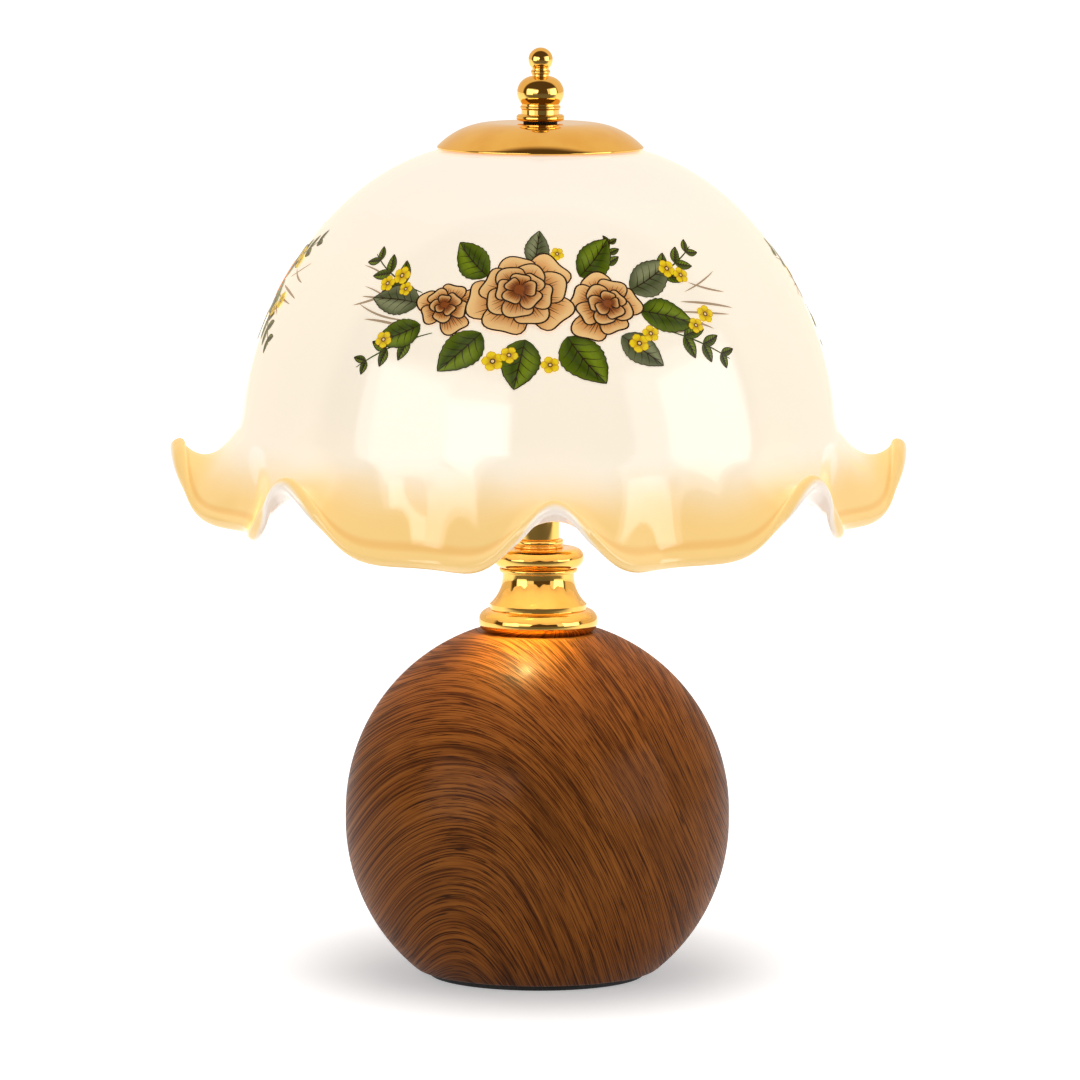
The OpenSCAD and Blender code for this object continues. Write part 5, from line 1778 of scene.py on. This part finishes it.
ear_nut = nut_mesh(-EAR_HEAD_T, EAR_HEAD_T, 7 * mm, 2.05 * mm)
nut_values = {"Count": 2, "Distance": nuts_high.x, "Height": ear_height, "Metal": steel}
dress("ear_nuts", grow(ear_nut, fasteners, nut_values), steel, "stand", "steel", "harp_nuts")

# %% [markdown]
# ## Lamp holder
# The holder is moulded from dark phenolic: a cap that grips the rod and a body with ring grooves for a
# shade ring, which many holders have. They show from below and when the shade is off.

# %% Holder cap
SHELL_HOLE_R = 14.15 * mm
HOLDER_INNER_R = 15.7 * mm
HOLDER_FLOOR = 6 * mm
CORE_R = 18 * mm
CORE_T = 4 * mm
GRIPS = 36
holder_low, holder_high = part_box("holder_cap")
cap_holder_r = holder_high.x


def gripped(angle, radius, height):
    """Shallow flutes round the cap for the fingers."""
    if radius < cap_holder_r - 0.6 * mm or not holder_low.z + 3 * mm < height < holder_high.z - 2 * mm:
        return radius, height
    return radius - 0.35 * mm * (0.5 + 0.5 * math.cos(GRIPS * angle)), height


holder_cap_corners = [
    (ROD_THREAD_R, holder_low.z, 0),
    (cap_holder_r, holder_low.z, 2.5 * mm),
    (cap_holder_r, holder_low.z + 4 * mm, 0),
    (cap_holder_r, holder_low.z + 4.5 * mm, 0),
    (cap_holder_r, holder_high.z - 3.0 * mm, 0),
    (cap_holder_r, holder_high.z - 2.4 * mm, 0),
    (cap_holder_r, holder_high.z, 0.5 * mm),
    (CORE_R, holder_high.z, 0.2 * mm),
    (CORE_R, holder_high.z - CORE_T, 0),
    (HOLDER_INNER_R, holder_high.z - CORE_T, 0),
    (HOLDER_INNER_R, holder_low.z + HOLDER_FLOOR, 0),
    (ROD_THREAD_R, holder_low.z + HOLDER_FLOOR, 0),
]
holder_cap_mesh = lathe_mesh(eased(holder_cap_corners), loop=True, steps=288, shape=gripped)
dress("holder_lower", holder_cap_mesh, phenolic, "stand", "phenolic", "holder_cap")

# %% Holder body
barrel_low, barrel_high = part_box("holder_body")
barrel_r = barrel_high.x
GROOVE_PITCH = 2.5 * mm
GROOVE_DEPTH = 0.9 * mm
barrel_corners = [(SHELL_HOLE_R, barrel_low.z, 0), (barrel_r, barrel_low.z, 0.4 * mm)]
for k in range(6):
    groove_z = barrel_low.z + (5.0 * mm + k * GROOVE_PITCH)
    barrel_corners += [
        (barrel_r, groove_z, 0.3 * mm),
        (barrel_r - GROOVE_DEPTH, groove_z + 0.35 * GROOVE_PITCH, 0.3 * mm),
        (barrel_r, groove_z + 0.7 * GROOVE_PITCH, 0.3 * mm),
    ]
barrel_corners += [
    (barrel_r, barrel_high.z, 0.8 * mm),
    (SHELL_HOLE_R, barrel_high.z, 0.4 * mm),
    (SHELL_HOLE_R, barrel_low.z, 0),
]
barrel_mesh = lathe_mesh(eased(barrel_corners)[:-1], loop=True, steps=144)
dress("holder_barrel", barrel_mesh, phenolic, "stand", "phenolic", "holder_body")

# %% [markdown]
# ## Bulb
# A small globe bulb: a bright screw cap with a rolled thread, a white skirt and a frosted globe, which
# glows. The globe lets the light of the lamp inside it pass, so it casts no shadow of its own.

# %% Bulb globe
GLOBE_WALL = 1 * mm
globe_r = globe_high.x
globe_middle = (0.0, globe_high.z - globe_r)
skirt_angle = -math.degrees(math.asin((globe_middle[1] - globe_low.z) / globe_r))


def frosted_globe():
    """White frosted plastic that glows warm, with painted shade that dims and warms the glow towards its
    foot.
    """
    made, tree, shader = new_finish("frosted_globe")
    place = own_place(tree)
    frost = noise(tree, place, 2200.0, 2.0)
    # Painted shade: the glow fades and turns warmer towards the bottom of the globe, so its round form shows.
    lower_painted_shade = ramp(tree, split(tree, place)["Z"], globe_low.z, globe_high.z - globe_r, 1.0, 0.0)
    feed(tree, shader, {
        "Base Color": blend_colours(tree, frost, shown(226, 220, 208), shown(238, 233, 223)),
        "Emission Color": blend_colours(tree, lower_painted_shade, shown(255, 232, 190), shown(255, 206, 146)),
        "Emission Strength": ramp(tree, lower_painted_shade, 0.0, 1.0, 0.50, 0.30),
        "Roughness": ramp(tree, frost, 0.3, 0.7, 0.35, 0.5),
    })
    return made


globe_outline = [
    (0.0, globe_high.z - GLOBE_WALL),
    *arc(globe_middle, globe_r - GLOBE_WALL, 89.0, skirt_angle, 30),
    *arc(globe_middle, globe_r, skirt_angle, 89.0, 32),
    (0.0, globe_high.z),
]
globe = dress("bulb_globe", lathe_mesh(globe_outline), frosted_globe(), "bulb", "bulb_white", "bulb_dome")
globe.visible_shadow = False

# %% Bulb skirt
skirt_low, skirt_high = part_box("bulb_skirt")
SKIRT_FOOT_R = 13.6 * mm
BOARD_ROOM_R = 18.2 * mm
BOARD_T = 1.2 * mm
skirt_outline = eased(
    [
        (0.0, skirt_low.z, 0),
        (SKIRT_FOOT_R, skirt_low.z, 0.4 * mm),
        (SKIRT_FOOT_R + 0.6 * mm, skirt_low.z + 3 * mm, 2 * mm),
        (skirt_high.x, skirt_high.z - 1.5 * mm, 1 * mm),
        (skirt_high.x, skirt_high.z, 0.3 * mm),
        (BOARD_ROOM_R, skirt_high.z, 0.1 * mm),
        (BOARD_ROOM_R, skirt_high.z - BOARD_T, 0),
        (SKIRT_FOOT_R - GLOBE_WALL, skirt_high.z - BOARD_T, 0),
        (SKIRT_FOOT_R - 2 * GLOBE_WALL, skirt_low.z + GLOBE_WALL, 0),
        (0.0, skirt_low.z + GLOBE_WALL, 0),
    ]
)
bulb_white = plain_finish("bulb_white", shown(240, 238, 232), 0.32, mottle=0.03, grain=1200.0)
dress("bulb_neck", lathe_mesh(skirt_outline), bulb_white, "bulb", "bulb_white", "bulb_skirt")

# %% Bulb screw cap
THREAD_PITCH = 3.62 * mm
THREAD_DEPTH = 0.8 * mm
SHELL_T = 0.5 * mm
screw_cap_low, screw_cap_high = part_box("bulb_cap")
screw_r = screw_cap_high.x
rolled_start = screw_cap_low.z + 1.2 * mm
rolled_end = screw_cap_high.z - 2.2 * mm
rolled_rows = round((rolled_end - rolled_start) / THREAD_PITCH * 14)


def rolled_thread(angle, radius, height):
    """A rounded thread, as rolled into thin sheet, that fades out at both ends."""
    if not rolled_start <= height <= rolled_end or radius < screw_r - THREAD_DEPTH - 1e-9:
        return radius, height
    phase = (height - rolled_start) / THREAD_PITCH - angle / (2 * math.pi)
    fade = min(1.0, (height - rolled_start) / THREAD_PITCH, (rolled_end - height) / THREAD_PITCH)
    return radius + fade * THREAD_DEPTH * (0.5 + 0.5 * math.cos(2 * math.pi * phase)), height


root_r = screw_r - THREAD_DEPTH
screw_cap_outline = [
    (0.0, screw_cap_low.z),
    *eased([(0.0, screw_cap_low.z, 0), (root_r, screw_cap_low.z, 0.6 * mm), (root_r, rolled_start, 0)])[1:-1],
    *[(root_r, rolled_start + (rolled_end - rolled_start) * i / rolled_rows) for i in range(rolled_rows + 1)],
    (root_r, screw_cap_high.z),
    (root_r - SHELL_T, screw_cap_high.z),
    (root_r - SHELL_T, screw_cap_low.z + SHELL_T),
    (0.0, screw_cap_low.z + SHELL_T),
]
screw_cap_mesh = lathe_mesh(screw_cap_outline, steps=96, shape=rolled_thread)
dress("bulb_screw_cap", screw_cap_mesh, bulb_metal, "bulb", "bulb_metal", "bulb_cap")

# %% [markdown]
# ## Finishes on the remaining solids
# The pieces inside the ball and the holder keep their solids, which have the right shape already. They
# only get the finish that belongs to their material slot.

# %% Remaining solids
SLOT_FINISH = {
    "brass": carrier_brass, "carrier_brass": carrier_brass, "steel": steel, "black_rubber": rubber,
    "black_plastic": black_plastic, "phenolic": phenolic, "porcelain": porcelain, "brown_lead": brown_lead,
    "blue_lead": blue_lead, "silicone": silicone, "bulb_metal": bulb_metal, "bulb_white": bulb_white,
    "circuit_board": board,
}
kept = 0
for entry in frame["record"]["subparts"]:
    solid = frame["nodes"][entry["node"]]
    if solid.hide_render:
        continue
    solid.data.materials.clear()
    solid.data.materials.append(SLOT_FINISH[entry["material_slot"]])
    kept += 1
print("solids kept with a new finish:", kept)

# %% [markdown]
# ## Measuring
# The dressed lamp's box is measured against the imported model's box, and the last line prints how far
# it grew at the high corner.

# %% Sizes and the end
import json

dressed_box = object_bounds()
growth_mm = [round((b - a) / mm, 2) for a, b in zip(cad_box[1], dressed_box[1])]
print("box grew by", growth_mm, "mm at the high corner")
